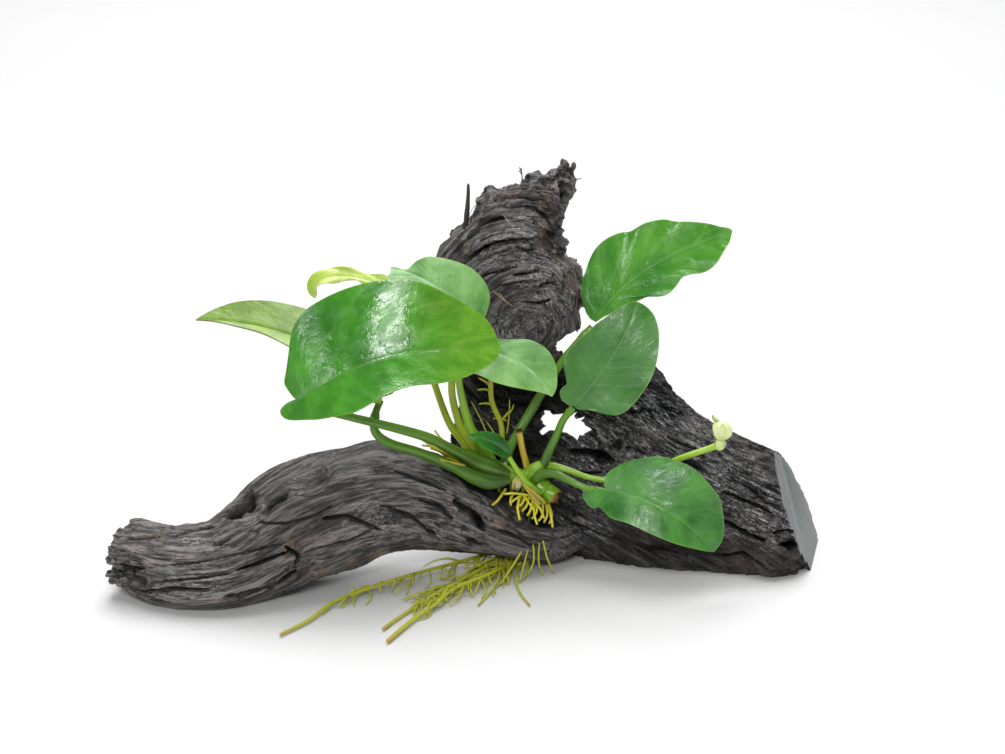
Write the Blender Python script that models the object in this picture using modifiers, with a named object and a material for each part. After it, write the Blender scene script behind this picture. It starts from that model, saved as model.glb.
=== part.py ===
"""Anubias on driftwood: a small water plant with a creeping stem, grown onto three-armed dark root wood.

+X is to the right, +Y away from the viewer and +Z up. The wood lies on the ground at z = 0.
Lengths in the tables are millimetres, and MM turns them into Blender's metres.
"""

import math

import bmesh
import bpy
from mathutils import Matrix, Vector, noise

MM = 0.001
GAP = 0.3  # between two pieces that touch
CENTRING = (-3.96, 4.067, 0.0)  # brings the middle of the whole piece over the origin

# The wood's three arms. Each row is a station on the arm's heart line:
# x, y, z, half width across, half height, and the roll of the section in degrees.
LEFT_ARM = [
    (38, 8, 10, 6, 5, 0),
    (29, 3, 8.5, 7.5, 5.5, 0),
    (20, -1, 11, 8, 6, 0),
    (10, -2, 16, 8.5, 9, -5),
    (-2, -3, 21.5, 11.5, 12, -8),
    (-14, -4, 26.5, 14.5, 16, -8),
    (-27, -6, 28, 16.5, 18, -5),
    (-40, -9, 26.5, 17.5, 19.5, 0),
    (-54, -13, 22, 18, 19, 5),
    (-67, -17, 15.5, 18.5, 17, 8),
    (-80, -20, 10.5, 18.5, 14, 10),
    (-94, -18, 9.5, 17, 12.5, 8),
    (-106, -15, 11, 14.5, 10, 4),
    (-114, -13, 12, 13, 9, 0),
]
RIGHT_ARM = [
    (-5, 32, 32, 2.5, 6, -8),
    (0, 31, 33, 8, 18, -8),
    (9, 30, 34, 10.5, 25.5, -10),
    (20, 28, 34.5, 12.5, 31, -12),
    (33, 24, 33.5, 15, 34, -14),
    (47, 21.5, 31.5, 16.5, 36.5, -14),
    (58, 19, 30.5, 17.5, 36.5, -14),
    (65, 17.5, 28, 18, 36, -14),
    (71, 16, 24, 18.5, 32, -14),
    (77, 14.5, 21, 18.5, 29.5, -14),
    (87, 13, 18, 18.5, 27.5, -14),
    (98, 11.5, 15.5, 18, 25.5, -14),
    (110, 11, 13, 18, 23, -14),
    (134, 11, 8, 18, 20, -14),
]
UPPER_ARM = [
    (11, 26, 34, 13, 12, 0),
    (13, 26, 50, 14, 13, 0),
    (14, 28, 64, 16, 15, 0),
    (16, 29, 78, 21, 17, 0),
    (16.5, 31, 90, 24.5, 18.5, 0),
    (15.5, 32, 101, 22, 18, 0),
    (17.5, 33, 109.5, 17, 15, 0),
    (21.5, 34, 116, 13, 11.5, 0),
    (28.5, 34, 122, 8.5, 8, 0),
    (33, 35, 128, 4.5, 5, 0),
    (35, 35, 134, 2.5, 2.5, 0),
]
# Hollows (negative) and knobs on the wood: x, y, z, reach and height.
WOOD_DENTS = [
    (-49, -20, 41, 9, -4),
    (-68, -24, 29, 9, -5),
    (-25, -24, 30, 6, -2),
    (-2, -10, 22, 7, -3.5),
    (-50, -34, 12, 9, -3),
    (-114, -20, 12, 7, -4),
    (-28, -6, 48, 12, 2),
    (-97, -28, 14, 8, 2),
    (0, 10, 98, 12, 2.5),
    (24, 14, 108, 9, -3),
    (5, 16, 120, 8, -3),
    (34, 16, 82, 10, 2.5),
    (52, -2, 28, 12, -3),
    (88, -4, 22, 10, -3),
    (104, -8, 8, 9, 3.5),
    (70, 32, 52, 9, -3),
    (58, 40, 30, 16, -4),
    (95, 34, 20, 12, -3),
    (20, 46, 70, 12, -4),
    (-30, 12, 30, 10, -3),
]
WOOD_SIDES, RIDGES_ROUND = 24, 2.4
LEFT_RINGS, RIGHT_RINGS, UPPER_RINGS = 30, 24, 23
RIDGE_STRETCH, RIDGE_HEIGHT = 26.0, 2.2
FOLD_PITCH, FOLD_HEIGHT = 12.0, 1.1
SPLINTER = [(1, 31, 100), (0, 31, 112), (1, 31, 120), (1.5, 31, 127)]
SPLINTER_RADIUS = 1.1
# The natural hole behind the plant, seen straight from the front and a little from above.
HOLE_CENTRE, HOLE_AXIS = (35, 26, 43), (0.035, 0.94, -0.336)
HOLE_WIDTH, HOLE_HEIGHT, HOLE_SIDES = 18.5, 13.0, 11
# The saw cut at the right arm's end.
SAW_POINT, SAW_NORMAL = (106, 11, 38), (1.0, -0.26, 0.41)
# Where the arms are parted into pieces: a vertical cut across the left arm's neck, seen in plan,
# and a sloping cut under the upper arm.
LEFT_REGION = [(29, -80), (29, 9.5), (3, 9.5), (-9, 13), (-24, 80), (-160, 80), (-160, -80)]
UPPER_POINT, UPPER_NORMAL = (28, 30, 64), (-0.57, 0.0, 0.82)

LEAF_THICKNESS = 0.8
BLADE_ACROSS, BLADE_ALONG = 6, 8
# Each leaf: base, middle and tip of its midrib, the way its upper side faces at base and tip, its half widths
# left and right of the midrib seen from above with the tip ahead, the depth of the heart lobes, the fold and
# the edge's wave.
LEAVES = {
    "leaf_01": (
        (-50, -34, 73), (-23, -46, 96), (11, -26, 86),
        (-0.3, -0.8, 0.5), (0.1, -0.9, 0.45),
        24, 14.5, 7, 0.10, 0.8,
    ),
    "leaf_02": (
        (44, 9.4, 85.4), (54, 9, 104.4), (86, 1, 117.4),
        (-0.5, -0.85, 0.3), (0.0, -0.93, 0.35),
        14.5, 17, 4, 0.12, 1.6,
    ),
    "leaf_03": (
        (36.5, -7, 61.3), (53, -12.5, 82), (61, -3.5, 93),
        (-0.2, -0.9, 0.35), (0.3, -0.6, 0.75),
        13, 15, 5, 0.10, 1.2,
    ),
    "leaf_04": (
        (47, -12, 34), (67, -24, 35), (83, -20, 15),
        (-0.1, -0.85, 0.5), (0.3, -0.85, 0.45),
        15, 9, 6, 0.10, 1.2,
    ),
    "leaf_05": (
        (1, -8, 81), (16, -12, 84), (30, -16, 69),
        (0.0, -0.6, 0.8), (0.3, -0.8, 0.5),
        6.5, 9, 3, 0.10, 0.8,
    ),
    "leaf_06": (
        (4, 2, 86), (-7, 4, 102), (-24, 12, 103),
        (0.3, -0.7, 0.65), (-0.1, -0.6, 0.8),
        12, 10, 3, 0.12, 1.0,
    ),
    "leaf_07": (
        (-16, 13, 90), (-37, 19, 102), (-50, 20, 91),
        (0.2, -0.35, 0.9), (-0.7, -0.4, 0.6),
        6, 6, 2, 0.15, 0.9,
    ),
    "leaf_08": (
        (-26, -15, 67.3), (-48, -9, 86), (-87, 2, 88),
        (0.2, -0.6, 0.8), (0.1, -0.5, 0.85),
        6, 12.5, 2, 0.22, 0.9,
    ),
    "young_leaf": (
        (15, -4, 43), (9, -8, 51), (0, -10, 52),
        (0.3, -0.8, 0.6), (0.2, -0.8, 0.6),
        3.4, 3.4, 0.8, 0.15, 0.3,
    ),
}
# Leaf stalks from the crown to the blade: guide points and the radius at foot and top.
STALKS = {
    "leaf_01": (
        [(3.4, -4.1, 40.65), (-4.5, -7, 46.4), (-14, -12, 53), (-37, -26, 64.5)]
        + [(-49.5, -34, 70.2)],
        2.0,
        1.3,
    ),
    "leaf_02": ([(15, 4.6, 40.2), (18, 5.2, 46), (26, 6.5, 61), (34, 9, 73), (43, 11.3, 83)], 1.8, 1.2),
    "leaf_03": (
        [(27.3, -1.3, 39.9), (28.8, -1.5, 44), (31, -1.8, 49), (33, -3.5, 55)]
        + [(36, -4.5, 59.5)],
        1.5,
        1.2,
    ),
    "leaf_04": ([(28.5, -5, 39.5), (34, -7.5, 40), (41, -10.1, 34.6), (46.8, -9.2, 31.2)], 1.5, 1.1),
    "leaf_05": ([(6.5, 1.6, 44), (2, 0, 51), (-1, -3, 66), (-1, -5, 74), (1, -6, 79)], 1.4, 1.1),
    "leaf_06": ([(3.5, 5.6, 44), (-1.5, 5, 51), (-4, 5, 64), (-1, 5.5, 76), (3.5, 4.5, 86)], 1.4, 1.1),
    "leaf_07": ([(0, 7.7, 43.3), (-5, 8, 50), (-10, 9, 64), (-16, 13, 83), (-20.5, 16, 91)], 1.3, 1.0),
    "leaf_08": (
        [(3.7, -6.3, 35.2), (-1.5, -9.3, 38.9), (-14, -13, 46.8), (-24, -15.5, 51.5)]
        + [(-28.5, -16, 56), (-28, -15.4, 62), (-26.5, -13.3, 65.3)],
        1.9,
        1.2,
    ),
    "young_leaf": ([(22.5, -5.6, 31.5), (19.5, -6.5, 36), (15.5, -6, 41)], 1.0, 0.8),
}
FURLED_STALK = (
    [(31, 2, 37), (35, -0.5, 38), (42, -3.5, 34.5), (50, -5, 34.5), (60, -7.5, 38)]
    + [(72, -9.5, 44), (81, -10, 47.5)],
    1.4,
    1.1,
)
FURLED_LEAF = [(82.5, -10.2, 48.5), (85, -10, 49.5), (86, -9.5, 52), (84, -8.5, 55), (82, -8, 58)]
FURLED_RADII = [1.6, 2.6, 2.5, 1.6, 0.5]
CUT_STALK = [(20.8, 1.7, 38.5), (19.6, 1.5, 43.5), (18.5, 1, 50)]
CUT_STALK_RADIUS = 1.3

# The creeping stem, from the young end on the left to the old cut end on the right.
RHIZOME = [(0, 3, 40.3), (6, 2, 38), (14, 1, 34.5), (21, 0, 32.5), (26, -1, 30.5), (31, -2, 27.5)]
RHIZOME_RADII = [3.0, 4.2, 4.4, 3.9, 3.6, 3.4]
CROWN_SHEATHS = [((10, -3, 35), (4, -4, 40), 3.0, 2.2), ((23.5, -0.5, 33), (27, -1.2, 39.2), 3.2, 2.2)]

# Roots: guide points, and radius at the start and the tip. The first three lie on the ground, with rootlets.
ROOTS = {
    "root_01": (
        [(12, 6.2, 32.4), (12, 9, 25), (12, 9, 14), (11.5, 7.5, 6), (8, 2, 4.8)]
        + [(-4, -6, 4.5), (-20, -16, 4), (-33, -24, 3), (-42, -31, 2), (-49, -43, 1.2)]
        + [(-57, -53, 1)],
        0.9,
        0.9,
    ),
    "root_02": (
        [(20, 4.8, 29.8), (20, 9, 24), (19.6, 9.9, 13), (19.3, 7.6, 5), (16, -1, 3.2)]
        + [(8, -15, 4.5), (-3, -25, 4), (-9, -34, 2.5), (-15, -42, 1.5), (-23, -58, 1.1)],
        0.9,
        1.1,
    ),
    "root_03": (
        [(16, 5.6, 31), (16, 8.8, 24), (16, 9, 13), (15, 6.5, 5), (11, -2, 4), (0, -15, 3)]
        + [(-8, -23, 2), (-14, -31, 1.2), (-20, -40, 1), (-25, -49, 0.9)],
        0.8,
        0.8,
    ),
    "root_04": (
        [(24, 3.8, 28.4), (23, 8, 21), (22, 9.7, 12), (22, 9.2, 4.5), (21, 1, 2.6)]
        + [(17.5, -8, 2), (18.5, -20, 1), (22, -31, 0.7)],
        0.6,
        0.5,
    ),
    "root_05": ([(17.8, 2, 1.7), (15, -8, 1.3), (10.5, -18, 1.2), (5, -31, 0.7)], 0.6, 0.5),
    "root_06": ([(28, -2.9, 24.9), (29.5, -6.5, 21.5), (30, -8, 17.5)], 0.7, 0.5),
    "root_07": ([(24, -3.2, 27.2), (23.5, -7.5, 23), (25, -10.5, 19)], 0.7, 0.5),
    "root_08": ([(19, -3.1, 28.9), (18, -9, 25), (19, -12, 20)], 0.9, 0.6),
    "root_09": ([(14, -2.9, 30.3), (11, -9, 28), (8, -14, 27)], 0.8, 0.6),
    "root_10": ([(1.5, -1.7, 37.4), (-4, -2, 42.1), (-11, -2, 45)], 1.0, 0.7),
    "root_11": ([(-3.5, 4.2, 37.6), (-8, 5, 41.2), (-13, 5, 45)], 0.9, 0.6),
}
ROOTLET_SPACING, ROOTLET_LENGTH, ROOTLET_RADIUS = 7.0, 8.0, 0.45
# The sides that rootlets leave: 1 is the root's far side, -1 its near side.
BRANCHED_ROOTS = {"root_01": (1, -1), "root_02": (-1,), "root_03": (1,)}
AIR_ROOT = ([(13, 9, 40), (12.5, 9.5, 49), (9.5, 9.5, 57), (9, 9.5, 65)], 1.0, 0.9)
AIR_ROOTLETS = [
    ((10, 9.5, 56), (5, 7.5, 57)),
    ((9.2, 9.5, 61), (4.5, 7.5, 62)),
    ((12.5, 9.5, 50), (16, 7, 55)),
]


def mm(point):
    return Vector(point) * MM


def blend_rows(rows, t):
    """All columns of a table at t from 0 to 1, on a smooth curve through its rows."""
    place = min(max(t, 0.0), 1.0) * (len(rows) - 1)
    i = min(int(place), len(rows) - 2)
    f = place - i
    a, b, c, d = (rows[min(max(i + k, 0), len(rows) - 1)] for k in (-1, 0, 1, 2))
    return [
        0.5 * (2 * q + (r - p) * f + (2 * p - 5 * q + 4 * r - s) * f * f + (3 * q - p - 3 * r + s) * f**3)
        for p, q, r, s in zip(a, b, c, d)
    ]


def material(name, colour, roughness):
    made = bpy.data.materials.new(name)
    made.use_nodes = True
    shader = made.node_tree.nodes["Principled BSDF"]
    shader.inputs["Base Color"].default_value = (*colour, 1)
    shader.inputs["Roughness"].default_value = roughness
    made.diffuse_color = (*colour, 1)
    return made


def collection(name, hidden=False):
    made = bpy.data.collections.new(name)
    bpy.context.scene.collection.children.link(made)
    made.hide_render = hidden
    return made


def add_object(name, data, home, finish=None):
    made = bpy.data.objects.new(name, data)
    home.objects.link(made)
    if finish:
        data.materials.append(finish)
    return made


def mesh_object(name, bm, home, finish=None):
    mesh = bpy.data.meshes.new(name)
    bmesh.ops.recalc_face_normals(bm, faces=bm.faces)
    bm.to_mesh(mesh)
    bm.free()
    return add_object(name, mesh, home, finish)


def as_cutter(obj):
    obj.hide_render = True
    obj.display_type = "WIRE"
    return obj


def boolean(obj, other, operation):
    """Joins, cuts or keeps what is common, with another object or with all the objects of a collection."""
    cut = obj.modifiers.new(operation.title(), "BOOLEAN")
    cut.operation = operation
    if isinstance(other, bpy.types.Collection):
        cut.operand_type = "COLLECTION"
        cut.collection = other
    else:
        cut.object = other
    return cut


def evaluated_mesh(obj, name):
    """The object's shape with its modifiers, as a mesh in world space with welded caps."""
    graph = bpy.context.evaluated_depsgraph_get()
    mesh = bpy.data.meshes.new_from_object(obj.evaluated_get(graph))
    mesh.name = name
    bm = bmesh.new()
    bm.from_mesh(mesh)
    bmesh.ops.transform(bm, matrix=obj.matrix_world, verts=bm.verts)
    bmesh.ops.remove_doubles(bm, verts=bm.verts, dist=0.01 * MM)
    bm.to_mesh(mesh)
    bm.free()
    return mesh


def dent_height(point):
    """How far the wood's hollows and knobs move a point of its surface outwards, in millimetres."""
    height = 0.0
    for x, y, z, reach, rise in WOOD_DENTS:
        share = (point - Vector((x, y, z))).length / reach
        if share < 1:
            height += rise * (1 - share * share) ** 2
    return height


def arm_frame(stations, t, reference, upright):
    """Centre, across and up directions and the two half sizes of an arm at t."""
    step = 0.01
    x, y, z, half_across, half_up, roll = blend_rows(stations, t)
    ahead, behind = (Vector(blend_rows(stations, t + s)[:3]) for s in (step, -step))
    along = (ahead - behind).normalized()
    if upright:
        along = (along - reference * along.dot(reference)).normalized()
    up = (reference - along * reference.dot(along)).normalized()
    up.rotate(Matrix.Rotation(math.radians(roll), 3, along))
    return Vector((x, y, z)), along.cross(up), up, half_across, half_up


def ridge_height(run, angle, phase):
    """Long ridges along the grain: noise stretched along the arm, in millimetres."""
    round_it = RIDGES_ROUND * math.cos(angle), RIDGES_ROUND * math.sin(angle)
    ring = Vector((run / RIDGE_STRETCH + phase, *round_it))
    return RIDGE_HEIGHT * noise.noise(ring)


def arm(name, stations, rings, home, reference=(0, 0, 1), upright=False, boxiness=2.0, phase=0.0, folds=0.0):
    """One arm of the wood: a cylinder bent along its stations, with ridges, folds, hollows and knobs."""
    bm = bmesh.new()
    sides = WOOD_SIDES
    bmesh.ops.create_cone(bm, cap_ends=True, cap_tris=True, segments=sides, radius1=1, radius2=1, depth=1)
    lengthwise = [e for e in bm.edges if abs(e.verts[0].co.z - e.verts[1].co.z) > 0.5]
    bmesh.ops.subdivide_edges(bm, edges=lengthwise, cuts=rings, use_grid_fill=True)
    length = sum((Vector(a[:3]) - Vector(b[:3])).length for a, b in zip(stations, stations[1:]))
    for vert in bm.verts:
        t, spread = vert.co.z + 0.5, Vector(vert.co.xy).length
        angle = math.atan2(vert.co.y, vert.co.x)
        centre, across, up, half_across, half_up = arm_frame(stations, t, Vector(reference), upright)
        box = (abs(math.cos(angle)) ** boxiness + abs(math.sin(angle)) ** boxiness) ** (-1 / boxiness)
        outward = (across * (half_across * math.cos(angle)) + up * (half_up * math.sin(angle))) * box
        point = centre + outward * spread
        swell = ridge_height(t * length, angle, phase) + dent_height(point)
        swell += folds * FOLD_HEIGHT * math.sin(math.tau * point.z / FOLD_PITCH + 1.5 * math.cos(angle - 0.6))
        vert.co = (point + outward.normalized() * swell * spread * min(1, min(half_across, half_up) / 8)) * MM
    return mesh_object(name, bm, home)


def tube(name, points, radii, home, finish=None, count=9, sides_step=1):
    """A tapering round stem or root through its guide points."""
    curve = bpy.data.curves.new(name, "CURVE")
    curve.dimensions = "3D"
    curve.bevel_depth = MM
    curve.bevel_resolution = sides_step
    curve.use_fill_caps = True
    spline = curve.splines.new("POLY")
    spline.points.add(count - 1)
    rows = [(*p, radii[0] + (radii[-1] - radii[0]) * i / (len(points) - 1)) for i, p in enumerate(points)]
    if len(radii) == len(points):
        rows = [(*p, r) for p, r in zip(points, radii)]
    for i, knot in enumerate(spline.points):
        x, y, z, radius = blend_rows(rows, i / (count - 1))
        knot.co = (*mm((x, y, z)), 1)
        knot.radius = radius
    return add_object(name, curve, home, finish)


def tube_mesh(name, points, radii, home, finish=None, count=9, sides_step=1):
    """The same stem as a closed mesh, for joining and cutting."""
    drawn = tube(name + "_line", points, radii, home, None, count, sides_step)
    bpy.context.view_layer.update()
    made = add_object(name, evaluated_mesh(drawn, name), home, finish)
    bpy.data.objects.remove(drawn)
    return made


def half_space(name, point, normal, home, shift=0.0):
    """A large block whose near face is the plane, moved along its normal by shift. The normal points into it."""
    size = 400 * MM
    bm = bmesh.new()
    bmesh.ops.create_cube(bm, size=size)
    made = mesh_object(name, bm, home)
    normal = Vector(normal).normalized()
    made.rotation_mode = "QUATERNION"
    made.rotation_quaternion = normal.to_track_quat("Z", "Y")
    made.location = (Vector(point) + normal * shift) * MM + normal * size / 2
    return as_cutter(made)


def plan_block(name, outline, home, grow=0.0):
    """A tall block over an outline seen in plan, moved to the right and back by grow, to part the left arm."""
    curve = bpy.data.curves.new(name, "CURVE")
    curve.dimensions = "2D"
    curve.fill_mode = "BOTH"
    curve.extrude = 150 * MM
    spline = curve.splines.new("POLY")
    spline.points.add(len(outline) - 1)
    for knot, (x, y) in zip(spline.points, outline):
        knot.co = ((x + grow) * MM, (y + grow) * MM, 0, 1)
    spline.use_cyclic_u = True
    drawn = add_object(name + "_outline", curve, home)
    bpy.context.view_layer.update()
    made = add_object(name, evaluated_mesh(drawn, name), home)
    bpy.data.objects.remove(drawn)
    return as_cutter(made)


def hole_cutter(home):
    """The ragged natural hole: a prism with an uneven outline."""
    bm = bmesh.new()
    bmesh.ops.create_cone(bm, cap_ends=True, segments=HOLE_SIDES, radius1=1, radius2=1, depth=120 * MM)
    for vert in bm.verts:
        ragged = 1 + 0.3 * noise.noise(Vector((vert.co.x * 2.5, vert.co.y * 2.5, 7.7)))
        vert.co.x *= 0.5 * HOLE_WIDTH * MM * ragged
        vert.co.y *= 0.5 * HOLE_HEIGHT * MM * ragged
    made = mesh_object("hole_cutter", bm, home)
    made.rotation_mode = "QUATERNION"
    made.rotation_quaternion = Vector(HOLE_AXIS).to_track_quat("Z", "Y")
    made.location = mm(HOLE_CENTRE)
    return as_cutter(made)


def build_wood(home, cutters, finish):
    """The driftwood: three arms joined, cut flat on the ground, then parted at the two forks."""
    arms = collection("wood_arms", hidden=True)
    whole = arm("wood_whole", RIGHT_ARM, RIGHT_RINGS, cutters, upright=True, phase=3.1)
    arm("left_form", LEFT_ARM, LEFT_RINGS, arms, boxiness=2.5, phase=0.4)
    arm("upper_form", UPPER_ARM, UPPER_RINGS, arms, reference=(0, 1, 0), phase=5.7, folds=1.0)
    tube_mesh("splinter", SPLINTER, [SPLINTER_RADIUS, 0.5 * SPLINTER_RADIUS], arms, count=5, sides_step=0)
    for form in arms.objects:
        as_cutter(form)
    boolean(whole, arms, "UNION")
    boolean(whole, half_space("ground_cutter", (0, 0, 0), (0, 0, -1), cutters), "DIFFERENCE")
    boolean(whole, half_space("saw_cutter", SAW_POINT, SAW_NORMAL, cutters), "DIFFERENCE")
    boolean(whole, hole_cutter(cutters), "DIFFERENCE")
    as_cutter(whole)
    bpy.context.view_layer.update()
    joined = evaluated_mesh(whole, "wood")
    left_block = plan_block("left_block", LEFT_REGION, cutters, -0.5 * GAP)
    left_rest = plan_block("left_rest", LEFT_REGION, cutters, 0.5 * GAP)
    upper_block = half_space("upper_block", UPPER_POINT, UPPER_NORMAL, cutters, 0.5 * GAP)
    upper_rest = half_space("upper_rest", UPPER_POINT, UPPER_NORMAL, cutters, -0.5 * GAP)
    left = add_object("wood_left_arm", joined.copy(), home, finish)
    boolean(left, left_block, "INTERSECT")
    right = add_object("wood_right_arm", joined.copy(), home, finish)
    boolean(right, left_rest, "DIFFERENCE")
    boolean(right, upper_rest, "DIFFERENCE")
    upper = add_object("wood_upper_arm", joined.copy(), home, finish)
    boolean(upper, left_rest, "DIFFERENCE")
    boolean(upper, upper_block, "INTERSECT")
    return left, right, upper


def blade_point(spec, u, v):
    """A point of a leaf blade: u across and v along, in a unit disc."""
    base, middle, tip, face_base, face_tip, half_left, half_right, lobe, fold, wave = spec
    base, middle, tip = Vector(base), Vector(middle), Vector(tip)
    t = 0.5 * (v + 1)
    rim = math.sqrt(max(1 - v * v, 1e-9))
    c = max(-1.0, min(1.0, u / rim)) if rim > 1e-4 else 0.0
    spine = base * (1 - t) ** 2 + middle * (2 * t * (1 - t)) + tip * t * t
    along = ((middle - base) * (1 - t) + (tip - middle) * t).normalized()
    face = Vector(face_base).lerp(Vector(face_tip), t)
    face = (face - along * face.dot(along)).normalized()
    right = along.cross(face)
    swell = max(t, 0.0) ** 0.5 * max(1 - t, 0.0) ** 0.72
    half = (half_right if c > 0 else half_left) * swell / (0.41**0.5 * 0.59**0.72)
    x = c * half
    ripple = math.sin(9 * t + (2.1 if c > 0 else 0.4)) * math.sin(math.pi * t)
    lift = fold * abs(x) * (1 + abs(c)) + wave * c * c * ripple
    back = lobe * math.sin(math.pi * min(1, abs(c) * 0.75)) * math.exp(-((t / 0.22) ** 2))
    return spine + right * x + face * lift - along * back


def blade(name, spec, home, finish):
    """A leaf blade: a grid rounded to a disc, shaped along the midrib and given a thickness."""
    bm = bmesh.new()
    bmesh.ops.create_grid(bm, x_segments=BLADE_ACROSS, y_segments=BLADE_ALONG, size=1)
    for vert in bm.verts:
        a, b = vert.co.x, vert.co.y
        u, v = a * math.sqrt(1 - 0.5 * b * b), b * math.sqrt(1 - 0.5 * a * a)
        vert.co = blade_point(spec, u, v) * MM
    made = mesh_object(name, bm, home, finish)
    shell = made.modifiers.new("Thickness", "SOLIDIFY")
    shell.thickness = LEAF_THICKNESS * MM
    shell.offset = 0
    made.data.shade_smooth()
    return made


def build_rhizome(home, finish):
    """The creeping stem, joined with the sheathed feet of the leaf stalks."""
    feet = collection("crown_feet", hidden=True)
    stem = tube_mesh("rhizome", RHIZOME, RHIZOME_RADII, home, finish, count=9, sides_step=2)
    for i, (foot, top, thick, thin) in enumerate(CROWN_SHEATHS):
        as_cutter(tube_mesh(f"sheath_{i}", [foot, top], [thick, thin], feet, count=4))
    boolean(stem, feet, "UNION")
    return stem


def root(name, points, radii, rootlets, home, finish):
    """A root with its side rootlets joined on."""
    sides = collection(name + "_rootlets", hidden=True)
    made = tube_mesh(name, points, radii, home, finish, count=2 * len(points), sides_step=0)
    for i, (foot, tip) in enumerate(rootlets):
        radii_there = [ROOTLET_RADIUS, 0.6 * ROOTLET_RADIUS]
        as_cutter(tube_mesh(f"{name}_side_{i}", [foot, tip], radii_there, sides, count=2, sides_step=0))
    if rootlets:
        boolean(made, sides, "UNION")
    return made


def rootlets_along(points, sides):
    """Feet and tips of the side rootlets, in turn on the sides given, low over the ground."""
    length = sum((Vector(a) - Vector(b)).length for a, b in zip(points, points[1:]))
    count = int(0.5 * length / ROOTLET_SPACING)
    made = []
    for i in range(count):
        t = 0.48 + 0.45 * i / count
        foot, ahead = Vector(blend_rows(points, t)), Vector(blend_rows(points, t + 0.02))
        along = (ahead - foot).normalized()
        side = Vector((along.y, -along.x, 0)).normalized() * sides[i % len(sides)]
        reach = ROOTLET_LENGTH * (0.7 + 0.5 * abs(math.sin(3.7 * i)))
        tip = foot + (along * 0.75 + side * 0.66) * reach
        tip.z = max(0.6, 0.7 * foot.z)
        made.append((tuple(foot), tuple(tip)))
    return made


def main():
    for old in list(bpy.data.objects):
        bpy.data.objects.remove(old)
    part = collection("anubias_on_driftwood")
    cutters = collection("cutters", hidden=True)
    wood = material("black root wood", (0.045, 0.038, 0.034), 0.6)
    green = material("leaf green", (0.09, 0.3, 0.03), 0.3)
    stalk = material("stalk green", (0.2, 0.38, 0.05), 0.4)
    pale = material("young leaf yellow-green", (0.6, 0.72, 0.25), 0.35)
    root_skin = material("root yellow-green", (0.5, 0.5, 0.08), 0.5)
    build_wood(part, cutters, wood)
    build_rhizome(part, stalk)
    for name, spec in LEAVES.items():
        blade(name + "_blade", spec, part, green)
    for name, (points, foot, top) in STALKS.items():
        tube(name + "_stalk", points, [foot, top], part, stalk, count=2 * len(points) - 1)
    tube("furled_leaf_stalk", FURLED_STALK[0], FURLED_STALK[1:], part, stalk, count=11)
    tube("furled_leaf", FURLED_LEAF, FURLED_RADII, part, pale, count=7)
    tube("cut_stalk", CUT_STALK, [CUT_STALK_RADIUS, 0.8 * CUT_STALK_RADIUS], part, stalk, count=4)
    for name, (points, start, tip) in ROOTS.items():
        rootlets = rootlets_along(points, BRANCHED_ROOTS[name]) if name in BRANCHED_ROOTS else []
        root(name, points, [start, tip], rootlets, part, root_skin)
    root("air_root", AIR_ROOT[0], AIR_ROOT[1:], AIR_ROOTLETS, part, root_skin)
    centre = bpy.data.objects.new("ground_point", None)
    part.objects.link(centre)
    for obj in bpy.data.objects:
        if obj != centre:
            obj.parent = centre
    centre.location = mm(CENTRING)


main()
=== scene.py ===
"""Anubias on driftwood: the looks of a small water plant with a creeping stem, grown onto dark root wood.

Tables are in millimetres, in the frame of the part before it was centred. place() turns them into the scene's metres.
+X is to the right, +Y away from the viewer and +Z up.
"""

import math
import random

import bmesh
import bpy
import numpy as np
from mathutils import Matrix, Vector, noise


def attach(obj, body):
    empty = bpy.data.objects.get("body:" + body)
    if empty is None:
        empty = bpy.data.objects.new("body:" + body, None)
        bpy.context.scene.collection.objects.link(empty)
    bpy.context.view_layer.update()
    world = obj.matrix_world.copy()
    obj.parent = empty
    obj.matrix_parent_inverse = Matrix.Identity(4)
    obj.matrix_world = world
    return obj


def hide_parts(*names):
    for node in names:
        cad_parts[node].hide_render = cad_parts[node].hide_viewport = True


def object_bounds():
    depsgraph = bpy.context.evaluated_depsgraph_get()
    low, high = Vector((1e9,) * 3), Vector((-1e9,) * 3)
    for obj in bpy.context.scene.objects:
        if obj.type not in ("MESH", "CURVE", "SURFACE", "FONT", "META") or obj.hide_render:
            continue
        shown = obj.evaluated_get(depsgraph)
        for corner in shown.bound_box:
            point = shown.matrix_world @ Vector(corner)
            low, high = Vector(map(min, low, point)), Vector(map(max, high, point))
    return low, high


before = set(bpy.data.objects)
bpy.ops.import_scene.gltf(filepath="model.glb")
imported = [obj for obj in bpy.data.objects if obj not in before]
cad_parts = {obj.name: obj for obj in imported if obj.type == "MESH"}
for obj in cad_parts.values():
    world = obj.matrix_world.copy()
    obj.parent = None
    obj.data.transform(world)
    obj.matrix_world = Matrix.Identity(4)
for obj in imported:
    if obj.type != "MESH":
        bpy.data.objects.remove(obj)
CAD_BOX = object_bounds()

bl_info = {
    "name": "Anubias on Driftwood",
    "version": (1, 0, 0),
    "blender": (4, 5, 0),
    "location": "3D View > Sidebar > Plant",
    "description": "Dresses the anubias on driftwood with grained wood, glossy leaves and branching roots",
    "category": "Object",
}

MM = 0.001
CENTRING = Vector((-3.96, 4.067, 0.0))
# The gap between the arms in millimetres, and the margin that pieces keep from the part's box in metres.
SEAM, MARGIN = 0.02, 1e-5
# Half the height of the blocks that part the wood, in millimetres.
BLOCK_HALF = 150

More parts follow.
